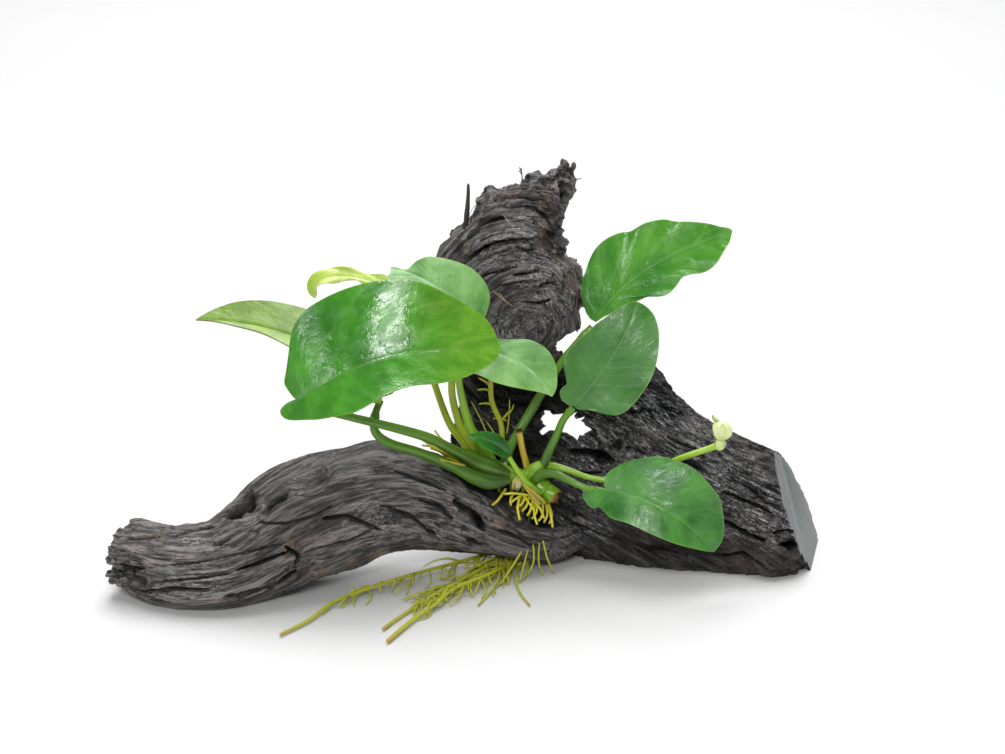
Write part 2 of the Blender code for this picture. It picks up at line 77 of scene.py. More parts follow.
# The wood's three arms, as in the part: x, y, z, half width across, half height, and roll in degrees.
LEFT_ARM = [
    (38, 8, 10, 6, 5, 0), (29, 3, 8.5, 7.5, 5.5, 0), (20, -1, 11, 8, 6, 0), (10, -2, 16, 8.5, 9, -5),
    (-2, -3, 21.5, 11.5, 12, -8), (-14, -4, 26.5, 14.5, 16, -8), (-27, -6, 28, 16.5, 18, -5),
    (-40, -9, 26.5, 17.5, 19.5, 0), (-54, -13, 22, 18, 19, 5), (-67, -17, 15.5, 18.5, 17, 8),
    (-80, -20, 10.5, 18.5, 14, 10), (-94, -18, 9.5, 17, 12.5, 8), (-106, -15, 11, 14.5, 10, 4),
    (-114, -13, 12, 13, 9, 0),
]
RIGHT_ARM = [
    (-5, 32, 32, 2.5, 6, -8), (0, 31, 33, 8, 18, -8), (9, 30, 34, 10.5, 25.5, -10), (20, 28, 34.5, 12.5, 31, -12),
    (33, 24, 33.5, 15, 34, -14), (47, 21.5, 31.5, 16.5, 36.5, -14), (58, 19, 30.5, 17.5, 36.5, -14),
    (65, 17.5, 28, 18, 36, -14), (71, 16, 24, 18.5, 32, -14), (77, 14.5, 21, 18.5, 29.5, -14),
    (87, 13, 18, 18.5, 27.5, -14), (98, 11.5, 15.5, 18, 25.5, -14), (110, 11, 13, 18, 23, -14),
    (134, 11, 8, 18, 20, -14),
]
UPPER_ARM = [
    (11, 26, 34, 13, 12, 0), (13, 26, 50, 14, 13, 0), (14, 28, 64, 16, 15, 0), (16, 29, 78, 21, 17, 0),
    (16.5, 31, 90, 24.5, 18.5, 0), (15.5, 32, 101, 22, 18, 0), (17.5, 33, 109.5, 17, 15, 0),
    (21.5, 34, 116, 13, 11.5, 0), (28.5, 34, 122, 8.5, 8, 0), (33, 35, 128, 4.5, 5, 0), (35, 35, 134, 2.5, 2.5, 0),
]
# Hollows (negative) and knobs of the arms' main forms: x, y, z, reach and height.
WOOD_DENTS = [
    (-49, -20, 41, 9, -4), (-68, -24, 29, 9, -5), (-25, -24, 30, 6, -2), (-2, -10, 22, 7, -3.5),
    (-50, -34, 12, 9, -3), (-114, -20, 12, 7, -4), (-28, -6, 48, 12, 2), (-97, -28, 14, 8, 2), (0, 10, 98, 12, 2.5),
    (24, 14, 108, 9, -3), (5, 16, 120, 8, -3), (34, 16, 82, 10, 2.5), (52, -2, 28, 12, -3), (88, -4, 22, 10, -3),
    (104, -8, 8, 9, 3.5), (70, 32, 52, 9, -3), (58, 40, 30, 16, -4), (95, 34, 20, 12, -3), (20, 46, 70, 12, -4),
    (-30, 12, 30, 10, -3),
]
# The broad ridges along the arms: their number round an arm as noise steps, their length and their height.
RIDGES_ROUND, RIDGE_STRETCH, RIDGE_HEIGHT = 2.4, 26.0, 2.2
# The folds across the upper arm.
FOLD_PITCH, FOLD_HEIGHT = 12.0, 1.1
HOLE_CENTRE, HOLE_AXIS = (35, 26, 43), (0.035, 0.94, -0.336)
# The hole's torn outline, across and up from its middle as seen from the front.
HOLE_OUTLINE = [
    (9.8, -1.8), (7.6, -0.3), (6, 1.7), (7.2, 3.2), (3.8, 2.1), (3.1, 3.4), (4.1, 4.9), (1.4, 3.2), (-1.2, 4.1),
    (-4.6, 3.6), (-5.5, 5), (-7.1, 5.3), (-8.5, 3.6), (-8.8, 1.7), (-7.3, -0.5), (-9.4, -2.4), (-9.6, -3.4),
    (-7.6, -3.8), (-5.5, -2), (-3.7, -2.2), (0.4, -2.8), (3.4, -4.5), (4.3, -5.6), (5, -3.8), (6.7, -3.9),
    (7.6, -2.7),
]
SAW_POINT, SAW_NORMAL = (106, 11, 38), (1.0, -0.26, 0.41)
LEFT_REGION = [(29, -80), (29, 9.5), (3, 9.5), (-9, 13), (-24, 80), (-160, 80), (-160, -80)]
UPPER_POINT, UPPER_NORMAL = (28, 30, 64), (-0.57, 0.0, 0.82)
# Crevices and slits of the wood: points on its surface, half width, depth, and the height of the plate edge over it.
CREVICES = [
    ([(0.9, 19, 103.7), (5.8, 17.4, 108), (9.2, 17.8, 109.5), (12.6, 17.5, 110.2), (16, 18.5, 110.6),
      (21.2, 19.8, 110.7), (23.7, 20.7, 110.9)], 1, 4.5, 1.2),
    ([(1.5, 21.2, 110.6), (4.1, 22.4, 113.4), (6.7, 23, 115.9), (10.9, 23.2, 117.3), (15.6, 23.1, 117.6)], 0.8, 2.4,
      0.9),
    ([(5.8, 14.8, 99.1), (8, 14.8, 100.4), (12.6, 14.7, 101.5), (17.7, 15.1, 103)], 0.6, 1.8, 0.6),
    ([(16.9, 14.3, 100.1), (19.4, 13.9, 100.4), (22.8, 14.4, 101.2), (25.4, 15.4, 101.6)], 0.8, 2.6, 0.5),
    ([(9.2, 14.4, 95), (12.6, 14.1, 96.6), (16, 14.2, 97.3), (20.3, 13.6, 98.3)], 0.6, 2.2, 0.8),
    ([(25, 14.6, 95.8), (27.1, 15.1, 96.6), (30.1, 16.5, 97.1)], 0.6, 1.8, 0.3),
    ([(36.4, 20.3, 84.7), (38.2, 21.8, 86.5), (38.6, 22, 90), (38.8, 23.4, 92.3)], 1.1, 4.5, 0.3),
    ([(33.1, 34.5, 103.3), (35.5, 36.5, 100.6), (36.7, 22.3, 100.6), (37.9, 22.9, 96.9)], 0.7, 2.5, 0.4),
    ([(33.4, 18.3, 99), (33.6, 18.6, 95.9), (33.2, 17.4, 93.1)], 0.6, 2, 0.3),
    ([(10.1, 27.1, 122.8), (15.2, 26.1, 124), (20.3, 26.1, 124), (26.3, 23.8, 123.7), (29.8, 27.6, 120.5),
      (30.9, 27.4, 118.8)], 0.7, 2.2, 0.9),
    ([(31.5, 28.1, 126.9), (33.2, 28, 123.5), (32.4, 28.1, 119.5), (30.9, 27.7, 117)], 0.8, 2.6, 0.3),
    ([(3.9, 35.3, 117.5), (1.8, 34.7, 113.6), (0.6, 27.9, 111.6)], 0.8, 2.2, 0.3),
    ([(17.8, 18.7, 108.6), (21.2, 19.5, 107.1), (24.2, 21.3, 107.5)], 0.6, 1.4, 0.2),
    ([(21.2, 13, 91.2), (25.4, 13.1, 90.7), (29.3, 14.4, 91.7)], 0.6, 1.2, 0.2),
    ([(18.6, 24.7, 121.2), (22.9, 23.7, 120.9), (27.2, 26.2, 117.8), (28.9, 25.9, 114.8)], 0.6, 1.4, 0.4),
    ([(66.1, 12.4, 55.3), (70, 12.6, 53.5), (73.6, 13.2, 51.2)], 0.8, 2.6, 0.4),
    ([(87.3, -3.3, 19.4), (92.2, -4, 16.8), (96.7, -5.6, 15), (101.3, -7, 13.4)], 0.9, 3.5, 0.7),
    ([(106.8, -7, 12.5), (109.4, -7.1, 12), (112.1, -6.9, 11.8)], 1.4, 4.5, 0.3),
    ([(104.2, -6.1, 15.9), (108.8, -5.7, 16.6), (114.5, 3.3, 12.4), (116, 3.6, 8.9)], 0.7, 2.4, 0.6),
    ([(85.2, -4.8, 7.8), (89.5, -5.3, 7.3), (94.1, -5.8, 8.8), (98, -7.5, 7), (102.1, -8.3, 3.6),
      (110.5, -7.1, 2.8)], 0.7, 1.8, 0.9),
    ([(36.1, 8.4, 39.8), (41.9, 7.5, 39.8), (47.1, 6.6, 39.2), (50.6, 5.5, 37.2)], 1.6, 4.5, 0.4),
    ([(73, 3, 39), (77.6, 2.1, 37.5), (81.6, 0.8, 35.2)], 0.6, 1.6, 0.4),
    ([(93.8, -0.3, 31.6), (97.8, -1.8, 29.1), (102.3, -3.8, 25.8)], 0.6, 1.4, 0.4),
    ([(87.3, -2.1, 29.2), (92.5, -3.2, 27.2), (98.8, -4.3, 25.1), (103.5, -4.8, 22.2)], 0.7, 1.8, 0.5),
    ([(33.8, 7.1, 33.1), (39.6, 5.9, 32.6), (46.5, 5.1, 33.2)], 0.8, 2, 0.3),
    ([(47.2, 4.2, 26.7), (50.1, 3.1, 22.1), (57.1, 0.8, 19.9)], 0.6, 1.4, 0.4),
    ([(68.5, 6.4, 45.8), (73.2, 5.7, 43.6), (79, 4.9, 41.4)], 0.6, 1.4, 0.4),
    ([(78.1, 22.4, 48.9), (83.4, 20.4, 45.8), (89.2, 13.8, 43.2)], 0.6, 1.2, 0.4),
    ([(33.9, 6, 16.5), (39.8, 4.9, 13.8), (46.8, 3.6, 11.1), (53.8, 1.7, 10)], 0.6, 1.2, 0.3),
    ([(59, -0.1, 9.5), (67.6, -3, 8.2), (75.7, -3.6, 6.6)], 0.6, 1.4, 0.3),
    ([(-70.1, -14.1, 33.9), (-70.9, -20.1, 31.6), (-73.8, -22.4, 30.3), (-76.3, -23.6, 29.2)], 2.6, 4.5, 0.3),
    ([(-56.4, -25.1, 37.2), (-59.3, -25.6, 35.7), (-62.1, -26.6, 33.9)], 1.2, 2.6, 0.3),
    ([(-109.6, -21.3, 20), (-103.6, -21.6, 20.7), (-99.4, -22.2, 21.6), (-95.8, -19.3, 22.3)], 0.7, 2, 0.4),
    ([(-79.6, -33.1, 22.7), (-76.7, -33.1, 23.6), (-74.4, -32.6, 24.6)], 0.6, 1.3, 0.3),
    ([(-111.6, -25.3, 5.1), (-103.9, -31.4, 5.9), (-92.2, -37.3, 9.6), (-81.5, -39.3, 10.1)], 0.9, 2.8, 0.6),
    ([(-111.6, -26.8, 8.5), (-107.9, -28.7, 6.2), (-102.8, -31.4, 4.3), (-94.1, -34.9, 3.7)], 0.7, 1.8, 0.4),
    ([(-72, -36.2, 15.8), (-64.7, -34.6, 17.7), (-59, -33.3, 19.6), (-54.3, -31.8, 20.7)], 0.8, 2.4, 0.5),
    ([(-56.7, -32.3, 22), (-54.6, -31.8, 20.2), (-52.9, -30.5, 18.1), (-54.4, -30, 14.1)], 0.9, 3, 0.3),
    ([(-62.1, -32.9, 7.9), (-58.4, -31.7, 10.1), (-54.4, -29.4, 12.3)], 1.3, 4.5, 0.4),
    ([(-76.2, -38, 7), (-71.7, -37, 7.2), (-67.2, -35.7, 8.2), (-62.3, -33.7, 9)], 1.3, 3.2, 0.4),
    ([(-52.7, -30.7, 19), (-45.1, -28.3, 20.5), (-36.6, -25.3, 21.1), (-29.7, -23.2, 24.1)], 0.6, 1.2, 0.4),
    ([(-65.5, -28.7, 29.2), (-56.1, -30.4, 29.4), (-47.7, -28.2, 31.1), (-42, -26.6, 33.9)], 0.6, 1, 0.3),
    ([(-44.9, -27.8, 30.1), (-37.5, -25.8, 30.2), (-30.8, -23.8, 26.2), (-27, -22.1, 23.6)], 0.9, 1.8, 0.3),
    ([(-93.5, -25.5, 23.1), (-87.8, -24.2, 24.5), (-80.4, -26.3, 26.3)], 0.6, 1, 0.2),
    ([(-113.6, -26.8, 13.9), (-107.8, -29.4, 13.5), (-102.7, -31.7, 14.2)], 0.7, 2.2, 0.6),
    ([(-96, -33.4, 15.9), (-84.1, -35.2, 18), (-70.3, -34.6, 20.8), (-59, -32.4, 23)], 0.5, 0.8, 0.2),
    ([(-99.6, -34.4, 10.7), (-84, -37.4, 13.4), (-73.7, -36.7, 14.9)], 0.5, 0.9, 0.2),
    ([(6.8, -11.6, 19.9), (2.3, -13.8, 26.6), (-2.6, -15.2, 31)], 2.2, 5, 0.3),
    ([(-11.9, -17, 21.8), (-9.6, -16, 20)], 1.1, 2.2, 0.2),
    ([(1.2, -13, 16.2), (5.8, -11.4, 13.7)], 1.1, 2.4, 0.2),
    ([(-14, -18.8, 32.8), (-7.5, -17.2, 30.1), (-3.7, -15.1, 24.2)], 0.8, 1.6, 0.3),
    ([(-26.9, -21.4, 32.1), (-17.3, -19.7, 27.9), (-7.8, -14.3, 16.7)], 0.7, 1.2, 0.3),
    ([(12.2, -10.6, 18.8), (18.9, -9.7, 15.5), (23.9, -8.2, 11.2)], 0.8, 1.6, 0.3),
    ([(-22.1, -16.3, 42.3), (-14, -16.2, 38.8), (-5.6, -15.2, 34.9)], 0.7, 1, 0.3),
]
# Deep pits and knots: a point on the surface, reach and depth. A negative depth is a crumb that stands out.
PITS = [
    (-70.5, -19, 32, 4.5, 5), (-62.5, -27, 33.5, 2.2, 1.6), (-108.5, -29, 11.5, 4, 3.5), (-104, -32, 9.5, 2.5, 1.8),
    (25.8, 31, 127, 2.2, 2), (22.8, 39.8, 126, 2.5, 2.2), (20, 38.4, 126, 2.2, 1.8), (32.6, 28.8, 127, 1.6, 1.8),
    (33.6, 28.6, 124.9, 1.6, 1.8), (16.1, 36.8, 124.7, 2, 1.4), (52, 7.5, 42, 3, 2.2), (110.5, -7, 12, 2.6, 3),
    (46, 6, 38.5, 3.5, 3), (9.5, 33, 124.5, 3, -1.6), (6.6, 33, 121.5, 2.5, -1.4), (23, 33, 128.5, 3, -1.2),
    (32.3, 34, 111.5, 2, -2), (34, 33, 106.8, 1.8, -1.8), (8.2, 32, 123.5, 3.4, -2.8), (5.2, 32, 121, 3, -1.6),
    (12, 32, 125, 2.6, -1.2), (36.4, 33, 132, 2.4, 2.6), (31.8, 33, 129.5, 2.2, 1.6), (72, 28, 62, 3, -1.5),
    (73, 28, 57, 2.5, -1.2),
]
# Bulges of the upper arm, and bites: the torn left end, the broken corner under the saw cut, the right shoulder and
# the gaps between the top prongs. Each is a middle and three half sizes.
BULGES = [((-1, 30, 101), (8.5, 9, 9)), ((24.5, 31, 125.2), (5.4, 5, 6)), ((31, 30, 106), (3.2, 7, 5))]
BITES = [
    ((-115.5, -26, 10.6), (7, 9, 2.3)),
    ((117.5, -12, 2), (7.5, 10, 8)),
    ((43, 30, 104.5), (6, 22, 6.5)),
    ((36.8, 32, 113.5), (3.4, 14, 6)),
    ((35.2, 30, 73.4), (5.4, 16, 5.8)),
    ((30.3, 33, 134.6), (3, 12, 4.4)),
    ((35.9, 34, 135), (0.9, 8, 3.2)),
]
# Where the wood is wet, brown or tan: a point, its reach and the strength.
WET_PLACES = [
    (46, 6, 37.5, 20, 0.9), (73, 3, 39, 20, 0.8), (90, -2, 29, 19, 0.9), (104, -5, 22, 15, 0.9),
    (28, 16, 98, 13, 1), (31, 15, 90, 11, 0.9), (14, 12.7, 80.5, 8, 1), (17, 19, 113, 14, 0.6),
    (24, 15, 105, 12, 1), (10, 17, 107, 9, 0.8), (24, 14, 86, 9, 0.8), (62, 9, 51, 16, 0.8), (80, 16, 47, 14, 0.8),
    (12, 14, 48, 12, 0.4), (40, 4, 14, 14, 0.4), (-65, -26, 31, 6, 0.7), (-86, -36, 15, 16, 0.5),
    (-30, -23, 28, 12, 0.4), (3, -13, 24, 10, 0.5),
]
BROWN_PLACES = [
    (98, -5, 19, 10, 0.9), (63, 4, 42, 10, 0.4), (79, -3, 26, 9, 0.4), (95, -6, 4, 16, 0.8), (110, -8, 4, 10, 0.9),
    (55, -29, 29, 8, 0.5), (-55, -30, 29, 12, 0.6), (-42, -26, 33, 8, 0.6), (-99, -22, 22, 10, 0.4),
    (8, 20, 117, 9, 0.7), (34, 19, 92, 8, 0.7), (30, 22, 108, 10, 0.6), (20, 13, 86, 12, 0.4),
    (12, -11, 21, 5, 0.8),
]
TAN_PLACES = [
    (-55.8, -31.8, 23, 2.2, 1), (-53.5, -31, 19.5, 2, 0.8), (-52, -28, 10.5, 3, 0.9), (-45.6, -26, 10.8, 3, 0.8),
    (-37, -23.5, 13.4, 3, 0.9), (-29, -19, 13.6, 3, 0.7), (-20, -12, 11.3, 3, 0.8), (-8, -10, 11.8, 3.5, 0.8),
    (11.5, -10.7, 21.7, 3, 1), (-101, -22, 21.5, 3.5, 0.7), (35.5, 19.5, 95, 2.5, 0.8), (31.5, 22, 103, 2.5, 0.7),
    (27, 23, 109, 2.5, 0.7), (15, 26, 124, 4, 0.6), (27, 25, 123, 4, 0.5),
]
# The worn places where the grain stands out less: a point, its reach and how much less.
CALM_PLACES = [(-32, -10, 42, 30, 0.6), (20, 13, 86, 11, 0.65), (-40, -28, 22, 16, 0.35), (-90, -30, 18, 22, 0.2)]
# The left arm's upper edge, seen from above. The wood behind it, under the plant, is painted nearly black as shade.
LEFT_EDGE = [(-40, 60), (-22, 30), (-12, -6), (-6, -11.6), (2, -9.5), (9, -5.8), (16, -2.6), (30, 2), (46, 5)]
# The run of the grain inside the right arm, which crosses the arm on a slant.
RIGHT_GRAIN = [(-12, 30, 64), (10, 28, 58), (40, 24, 47), (80, 16, 24), (134, 10, -4)]
# The upper arm grows round this axis, seen from the front: x and height in the view.
ARCH_CENTRE = (21.0, 81.0)
# Heights between which the arches end and the torn top begins, and how far left the torn end begins.
ARCH_END, TORN_TOP, TORN_LEFT = (117, 124), (116, 127), (-106, -114)
# The view's up and ahead directions, with the camera looking down by 18 degrees.
VIEW_UP, VIEW_AHEAD = np.array((0, 0.309, 0.951)), np.array((0, 0.951, -0.309))
# How each arm's grain shows: length and width of its ridges, their height, the fine strands' height,
# pitch and height of the plates, and depth of the slits, all in millimetres.
LEFT_HABIT = {"length": 34, "width": 3.4, "ridge": 0.6, "strand": 0.55, "pitch": 6.5, "plate": 0.35, "slit": 0.5}
RIGHT_HABIT = {"length": 17, "width": 2.6, "ridge": 0.9, "strand": 0.8, "pitch": 4.2, "plate": 0.8, "slit": 1.2}
UPPER_HABIT = {"length": 22, "width": 2.6, "ridge": 0.5, "strand": 0.6, "pitch": 4.4, "plate": 0.9, "slit": 0.8}
# The noises of the wood's finish: scale along and across the grain, shift, detail, roughness and distortion. Strands
# are about 2 mm and fibres 0.8 mm wide, coarser than the real ones so that they show, and 10 to 30 mm long.
WOOD_NOISES = {
    "strand": ((0.04, 0.48, 0.48), (0, 0, 0), 6.0, 0.72, 0.35),
    "fibre": ((0.10, 1.25, 1.25), (0, 0, 0), 4.0, 0.65, 0.0),
    "speck": ((0.5, 1.1, 1.1), (0, 0, 0), 4.0, 0.75, 0.0),
    "film": ((0.3, 1.5, 1.5), (9, 4, 5), 3.0, 0.7, 0.0),
    "glint": ((0.9, 3.4, 3.4), (1, 7, 2), 2.0, 0.6, 0.0),
    "crack": ((0.035, 0.62, 0.62), (3, 1, 2), 2.0, 0.5, 0.0),
}
# The marks that the saw's blade left are this far apart.
BLADE_MARKS = 2.6


def linear(hexed):
    """An sRGB hex colour as Blender's linear red, green, blue and alpha."""
    parts = [int(hexed[i : i + 2], 16) / 255 for i in (1, 3, 5)]
    return (*(c / 12.92 if c <= 0.04045 else ((c + 0.055) / 1.055) ** 2.4 for c in parts), 1.0)


def blend_rows(rows, t):
    """All columns of a table at t from 0 to 1, on a smooth curve through its rows."""
    place = min(max(t, 0.0), 1.0) * (len(rows) - 1)
    i = min(int(place), len(rows) - 2)
    f = place - i
    a, b, c, d = (rows[min(max(i + k, 0), len(rows) - 1)] for k in (-1, 0, 1, 2))
    return [
        0.5 * (2 * q + (r - p) * f + (2 * p - 5 * q + 4 * r - s) * f * f + (3 * q - p - 3 * r + s) * f**3)
        for p, q, r, s in zip(a, b, c, d)
    ]


def mesh_object(name, bm):
    """A new object from a bmesh, still in the tables' millimetres."""
    mesh = bpy.data.meshes.new(name)
    bm.to_mesh(mesh)
    bm.free()
    made = bpy.data.objects.new(name, mesh)
    bpy.context.scene.collection.objects.link(made)
    return made


def applied(obj):
    """Replaces the object's mesh by the one that its modifiers make."""
    graph = bpy.context.evaluated_depsgraph_get()
    mesh = bpy.data.meshes.new_from_object(obj.evaluated_get(graph))
    old = obj.data
    obj.modifiers.clear()
    obj.data = mesh
    bpy.data.meshes.remove(old)
    mesh.name = obj.name
    return obj


def positions(mesh):
    """The mesh's points as one array."""
    co = np.empty(len(mesh.vertices) * 3)
    mesh.vertices.foreach_get("co", co)
    return co.reshape(-1, 3)


def place(obj):
    """Takes a finished piece from the tables' millimetres to its place in the scene, inside the part's box."""
    mesh = obj.data
    co = (positions(mesh) + np.array(CENTRING)) * MM
    co = np.clip(co, np.array(CAD_BOX[0]) + MARGIN, np.array(CAD_BOX[1]) - MARGIN)
    co[:, 2] = np.maximum(co[:, 2], 0.0)
    mesh.vertices.foreach_set("co", co.ravel())
    mesh.update()
    return obj


def stand_in_for(obj, slot, *nodes):
    """The piece rides on the part's one body and takes the place of its solids; the slot argument is not used."""
    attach(obj, "root")
    if nodes:
        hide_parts(*nodes)
    return obj


def write_field(mesh, name, values):
    """A float or a vector for each vertex, for the materials to read."""
    kind, slot = ("FLOAT_VECTOR", "vector") if values.ndim == 2 else ("FLOAT", "value")
    field = mesh.attributes.new(name, kind, "POINT")
    field.data.foreach_set(slot, np.ascontiguousarray(values, dtype=np.float32).ravel())


def waver(x, y, z):
    """Smooth noise from -1 to 1 at one place."""
    return noise.noise(Vector((x, y, z)))


def noise_field(points, scale, shift=0.0):
    """Smooth noise from -1 to 1 at each point, for pattern sizes in millimetres."""
    return np.fromiter((noise.noise(p) for p in (points / np.array(scale) + shift).tolist()), float, len(points))


def cell_field(points, scale, shift=0.0):
    """One random value from -1 to 1 for each little block of the pattern."""
    return np.fromiter((noise.cell(p) for p in (points / np.array(scale) + shift).tolist()), float, len(points))


def soft_step(low, high, values):
    """0 below low, 1 above high, and a smooth rise between them."""
    share = np.clip((values - low) / (high - low), 0, 1)
    return share * share * (3 - 2 * share)


def near_places(points, places):
    """Strength from 0 to 1 of a list of soft round places."""
    total = np.zeros(len(points))
    for x, y, z, reach, strength in places:
        share = np.linalg.norm(points - np.array((x, y, z)), axis=1) / reach
        total = np.maximum(total, strength * np.clip(1 - share * share, 0, 1))
    return total


def add_rings(bm, count):
    """Cuts a cylinder's long edges, so that it has that many rings between its ends."""
    lengthwise = [e for e in bm.edges if abs(e.verts[0].co.z - e.verts[1].co.z) > 0.5]
    bmesh.ops.subdivide_edges(bm, edges=lengthwise, cuts=count, use_grid_fill=True)


def arm_frame(stations, t, reference, upright):
    """Centre, across and up directions and the two half sizes of an arm at t."""
    step = 0.01
    x, y, z, half_across, half_up, roll = blend_rows(stations, t)
    ahead, behind = (Vector(blend_rows(stations, t + s)[:3]) for s in (step, -step))
    along = (ahead - behind).normalized()
    if upright:
        along = (along - reference * along.dot(reference)).normalized()
    up = (reference - along * reference.dot(along)).normalized()
    up.rotate(Matrix.Rotation(math.radians(roll), 3, along))
    return Vector((x, y, z)), along.cross(up), up, half_across, half_up


def arm_form(name, stations, rings, reference=(0, 0, 1), upright=False, boxiness=2.0, phase=0.0, folds=0.0):
    """One arm's main form, in millimetres: a cylinder bent along its stations, with torn ends."""
    bm = bmesh.new()
    bmesh.ops.create_cone(bm, cap_ends=True, cap_tris=True, segments=96, radius1=1, radius2=1, depth=1)
    spokes = [e for e in bm.edges if min(v.co.xy.length for v in e.verts) < 0.5]
    bmesh.ops.subdivide_edges(bm, edges=spokes, cuts=8, use_grid_fill=True)
    add_rings(bm, rings)
    length = sum((Vector(a[:3]) - Vector(b[:3])).length for a, b in zip(stations, stations[1:]))
    frames = {}
    for vert in bm.verts:
        t, spread = vert.co.z + 0.5, vert.co.xy.length
        angle = math.atan2(vert.co.y, vert.co.x)
        key = round(t, 5)
        if key not in frames:
            frames[key] = arm_frame(stations, t, Vector(reference), upright)
        centre, across, up, half_across, half_up = frames[key]
        box = (abs(math.cos(angle)) ** boxiness + abs(math.sin(angle)) ** boxiness) ** (-1 / boxiness)
        outward = (across * (half_across * math.cos(angle)) + up * (half_up * math.sin(angle))) * box
        point = centre + outward * spread
        around = (RIDGES_ROUND * math.cos(angle), RIDGES_ROUND * math.sin(angle))
        swell = RIDGE_HEIGHT * waver(t * length / RIDGE_STRETCH + phase, *around)
        for x, y, z, reach, rise in WOOD_DENTS:
            share = (point - Vector((x, y, z))).length / reach
            if share < 1:
                swell += rise * (1 - share * share) ** 2
        swell += folds * FOLD_HEIGHT * math.sin(math.tau * point.z / FOLD_PITCH + 1.5 * math.cos(angle - 0.6))
        vert.co = point + outward.normalized() * swell * spread * min(1, min(half_across, half_up) / 8)
    bmesh.ops.recalc_face_normals(bm, faces=bm.faces)
    return mesh_object(name, bm)


def half_space(name, point, normal, shift=0.0):
    """A large block whose near face is the plane, moved along its normal by shift."""
    size = 400
    bm = bmesh.new()
    bmesh.ops.create_cube(bm, size=size)
    normal = Vector(normal).normalized()
    turn = normal.to_track_quat("Z", "Y").to_matrix().to_4x4()
    middle = Matrix.Translation(Vector(point) + normal * (shift + size / 2))
    bmesh.ops.transform(bm, matrix=middle @ turn, verts=bm.verts)
    return mesh_object(name, bm)


def plan_block(name, outline, grow):
    """A tall block over an outline seen in plan."""
    bm = bmesh.new()
    ring = [bm.verts.new((x + grow, y + grow, -BLOCK_HALF)) for x, y in outline]
    made = bmesh.ops.extrude_face_region(bm, geom=[bm.faces.new(ring)])
    top = [g for g in made["geom"] if isinstance(g, bmesh.types.BMVert)]
    bmesh.ops.translate(bm, vec=(0, 0, 2 * BLOCK_HALF), verts=top)
    bmesh.ops.recalc_face_normals(bm, faces=bm.faces)
    return mesh_object(name, bm)


def hole_plug():
    """The shape of the natural hole: its torn outline, drawn through the wood with ragged sides."""
    bm = bmesh.new()
    count = 4 * len(HOLE_OUTLINE)
    bmesh.ops.create_cone(bm, cap_ends=True, cap_tris=True, segments=count, radius1=1, radius2=1, depth=120)
    add_rings(bm, 60)
    for vert in bm.verts:
        spread = vert.co.xy.length
        turn = (math.atan2(vert.co.y, vert.co.x) / math.tau) % 1.0 * len(HOLE_OUTLINE)
        a, b = (HOLE_OUTLINE[int(turn + k) % len(HOLE_OUTLINE)] for k in (0, 1))
        f = turn - int(turn)
        x, y = a[0] + (b[0] - a[0]) * f, a[1] + (b[1] - a[1]) * f
        ragged = 1 + 0.16 * waver(x * 0.9, y * 0.9, 0.25 * vert.co.z)
        ragged += 0.010 * max(0.0, abs(vert.co.z) - 8)
        vert.co.x, vert.co.y = -x * ragged * spread, y * ragged * spread
    turn = Vector(HOLE_AXIS).to_track_quat("Z", "Y").to_matrix().to_4x4()
    bmesh.ops.transform(bm, matrix=Matrix.Translation(Vector(HOLE_CENTRE)) @ turn, verts=bm.verts)
    bmesh.ops.recalc_face_normals(bm, faces=bm.faces)
    return mesh_object("hole_plug", bm)


def rough_ball(name, centre, sizes, rough=1.0):
    """A rough rounded block, for bites out of the wood, such as the notch of the left end, and for bulges."""
    bm = bmesh.new()
    bmesh.ops.create_icosphere(bm, subdivisions=5, radius=1)
    for vert in bm.verts:
        wild = 0.35 * noise.noise(vert.co * 2.3) + 0.15 * noise.noise(vert.co * 6) + 0.06 * noise.noise(vert.co * 15)
        vert.co = Vector(c * s for c, s in zip(vert.co, sizes)) * (1 + rough * wild) + Vector(centre)
    return mesh_object(name, bm)


def cut(obj, other, operation):
    """Adds a boolean cut of the object by the other one."""
    step = obj.modifiers.new(operation.title(), "BOOLEAN")
    step.operation, step.object, step.solver = operation, other, "MANIFOLD"


def along_line(points, line, sides=None, reference=(0, 0, 1), upright=False):
    """Run along a smooth line, offsets across and up, and the share of the half sizes that a point is out."""
    count = 110
    rows = [(*r[:3], *(sides[i] if sides else (1, 1)), 0) for i, r in enumerate(line)]
    frames = [arm_frame(rows, i / (count - 1), Vector(reference), upright) for i in range(count)]
    centre, across, up = (np.array([f[k] for f in frames]) for k in range(3))
    half = np.array([f[3:5] for f in frames])
    steps = np.linalg.norm(np.diff(centre, axis=0), axis=1)
    runs = np.concatenate(([0], np.cumsum(steps)))
    ahead = np.gradient(centre, axis=0)
    ahead /= np.linalg.norm(ahead, axis=1)[:, None]
    nearest = np.concatenate(
        [np.argmin(((part[:, None, :] - centre[None]) ** 2).sum(-1), axis=1) for part in np.array_split(points, 40)]
    )
    gap = ((points - centre[nearest]) * ahead[nearest]).sum(-1)
    spot = np.clip(nearest + gap / steps.mean(), 0, count - 1.001)
    low = spot.astype(int)
    share = (spot - low)[:, None]
    middle, side, above = (a[low] * (1 - share) + a[low + 1] * share for a in (centre, across, up))
    sizes = half[low] * (1 - share) + half[low + 1] * share
    offset = points - middle
    out_across, out_up = (offset * side).sum(-1), (offset * above).sum(-1)
    run = runs[nearest] + gap
    reach = np.sqrt((out_across / sizes[:, 0]) ** 2 + (out_up / sizes[:, 1]) ** 2 + (np.abs(gap) > 3) * (gap / 9) ** 2)
    return np.column_stack((run, out_across, out_up)), reach


def arch_grain(points):
    """The upper arm's grain: arches round a level axis, so its plates sweep up from the left and down at the right."""
    x = (points[:, 0] - ARCH_CENTRE[0]) / 0.95
    high = points @ VIEW_UP - ARCH_CENTRE[1]
    radius = np.hypot(x, high)
    return np.column_stack((np.arctan2(x, high) * 24, 0.6 * (points @ VIEW_AHEAD), radius))


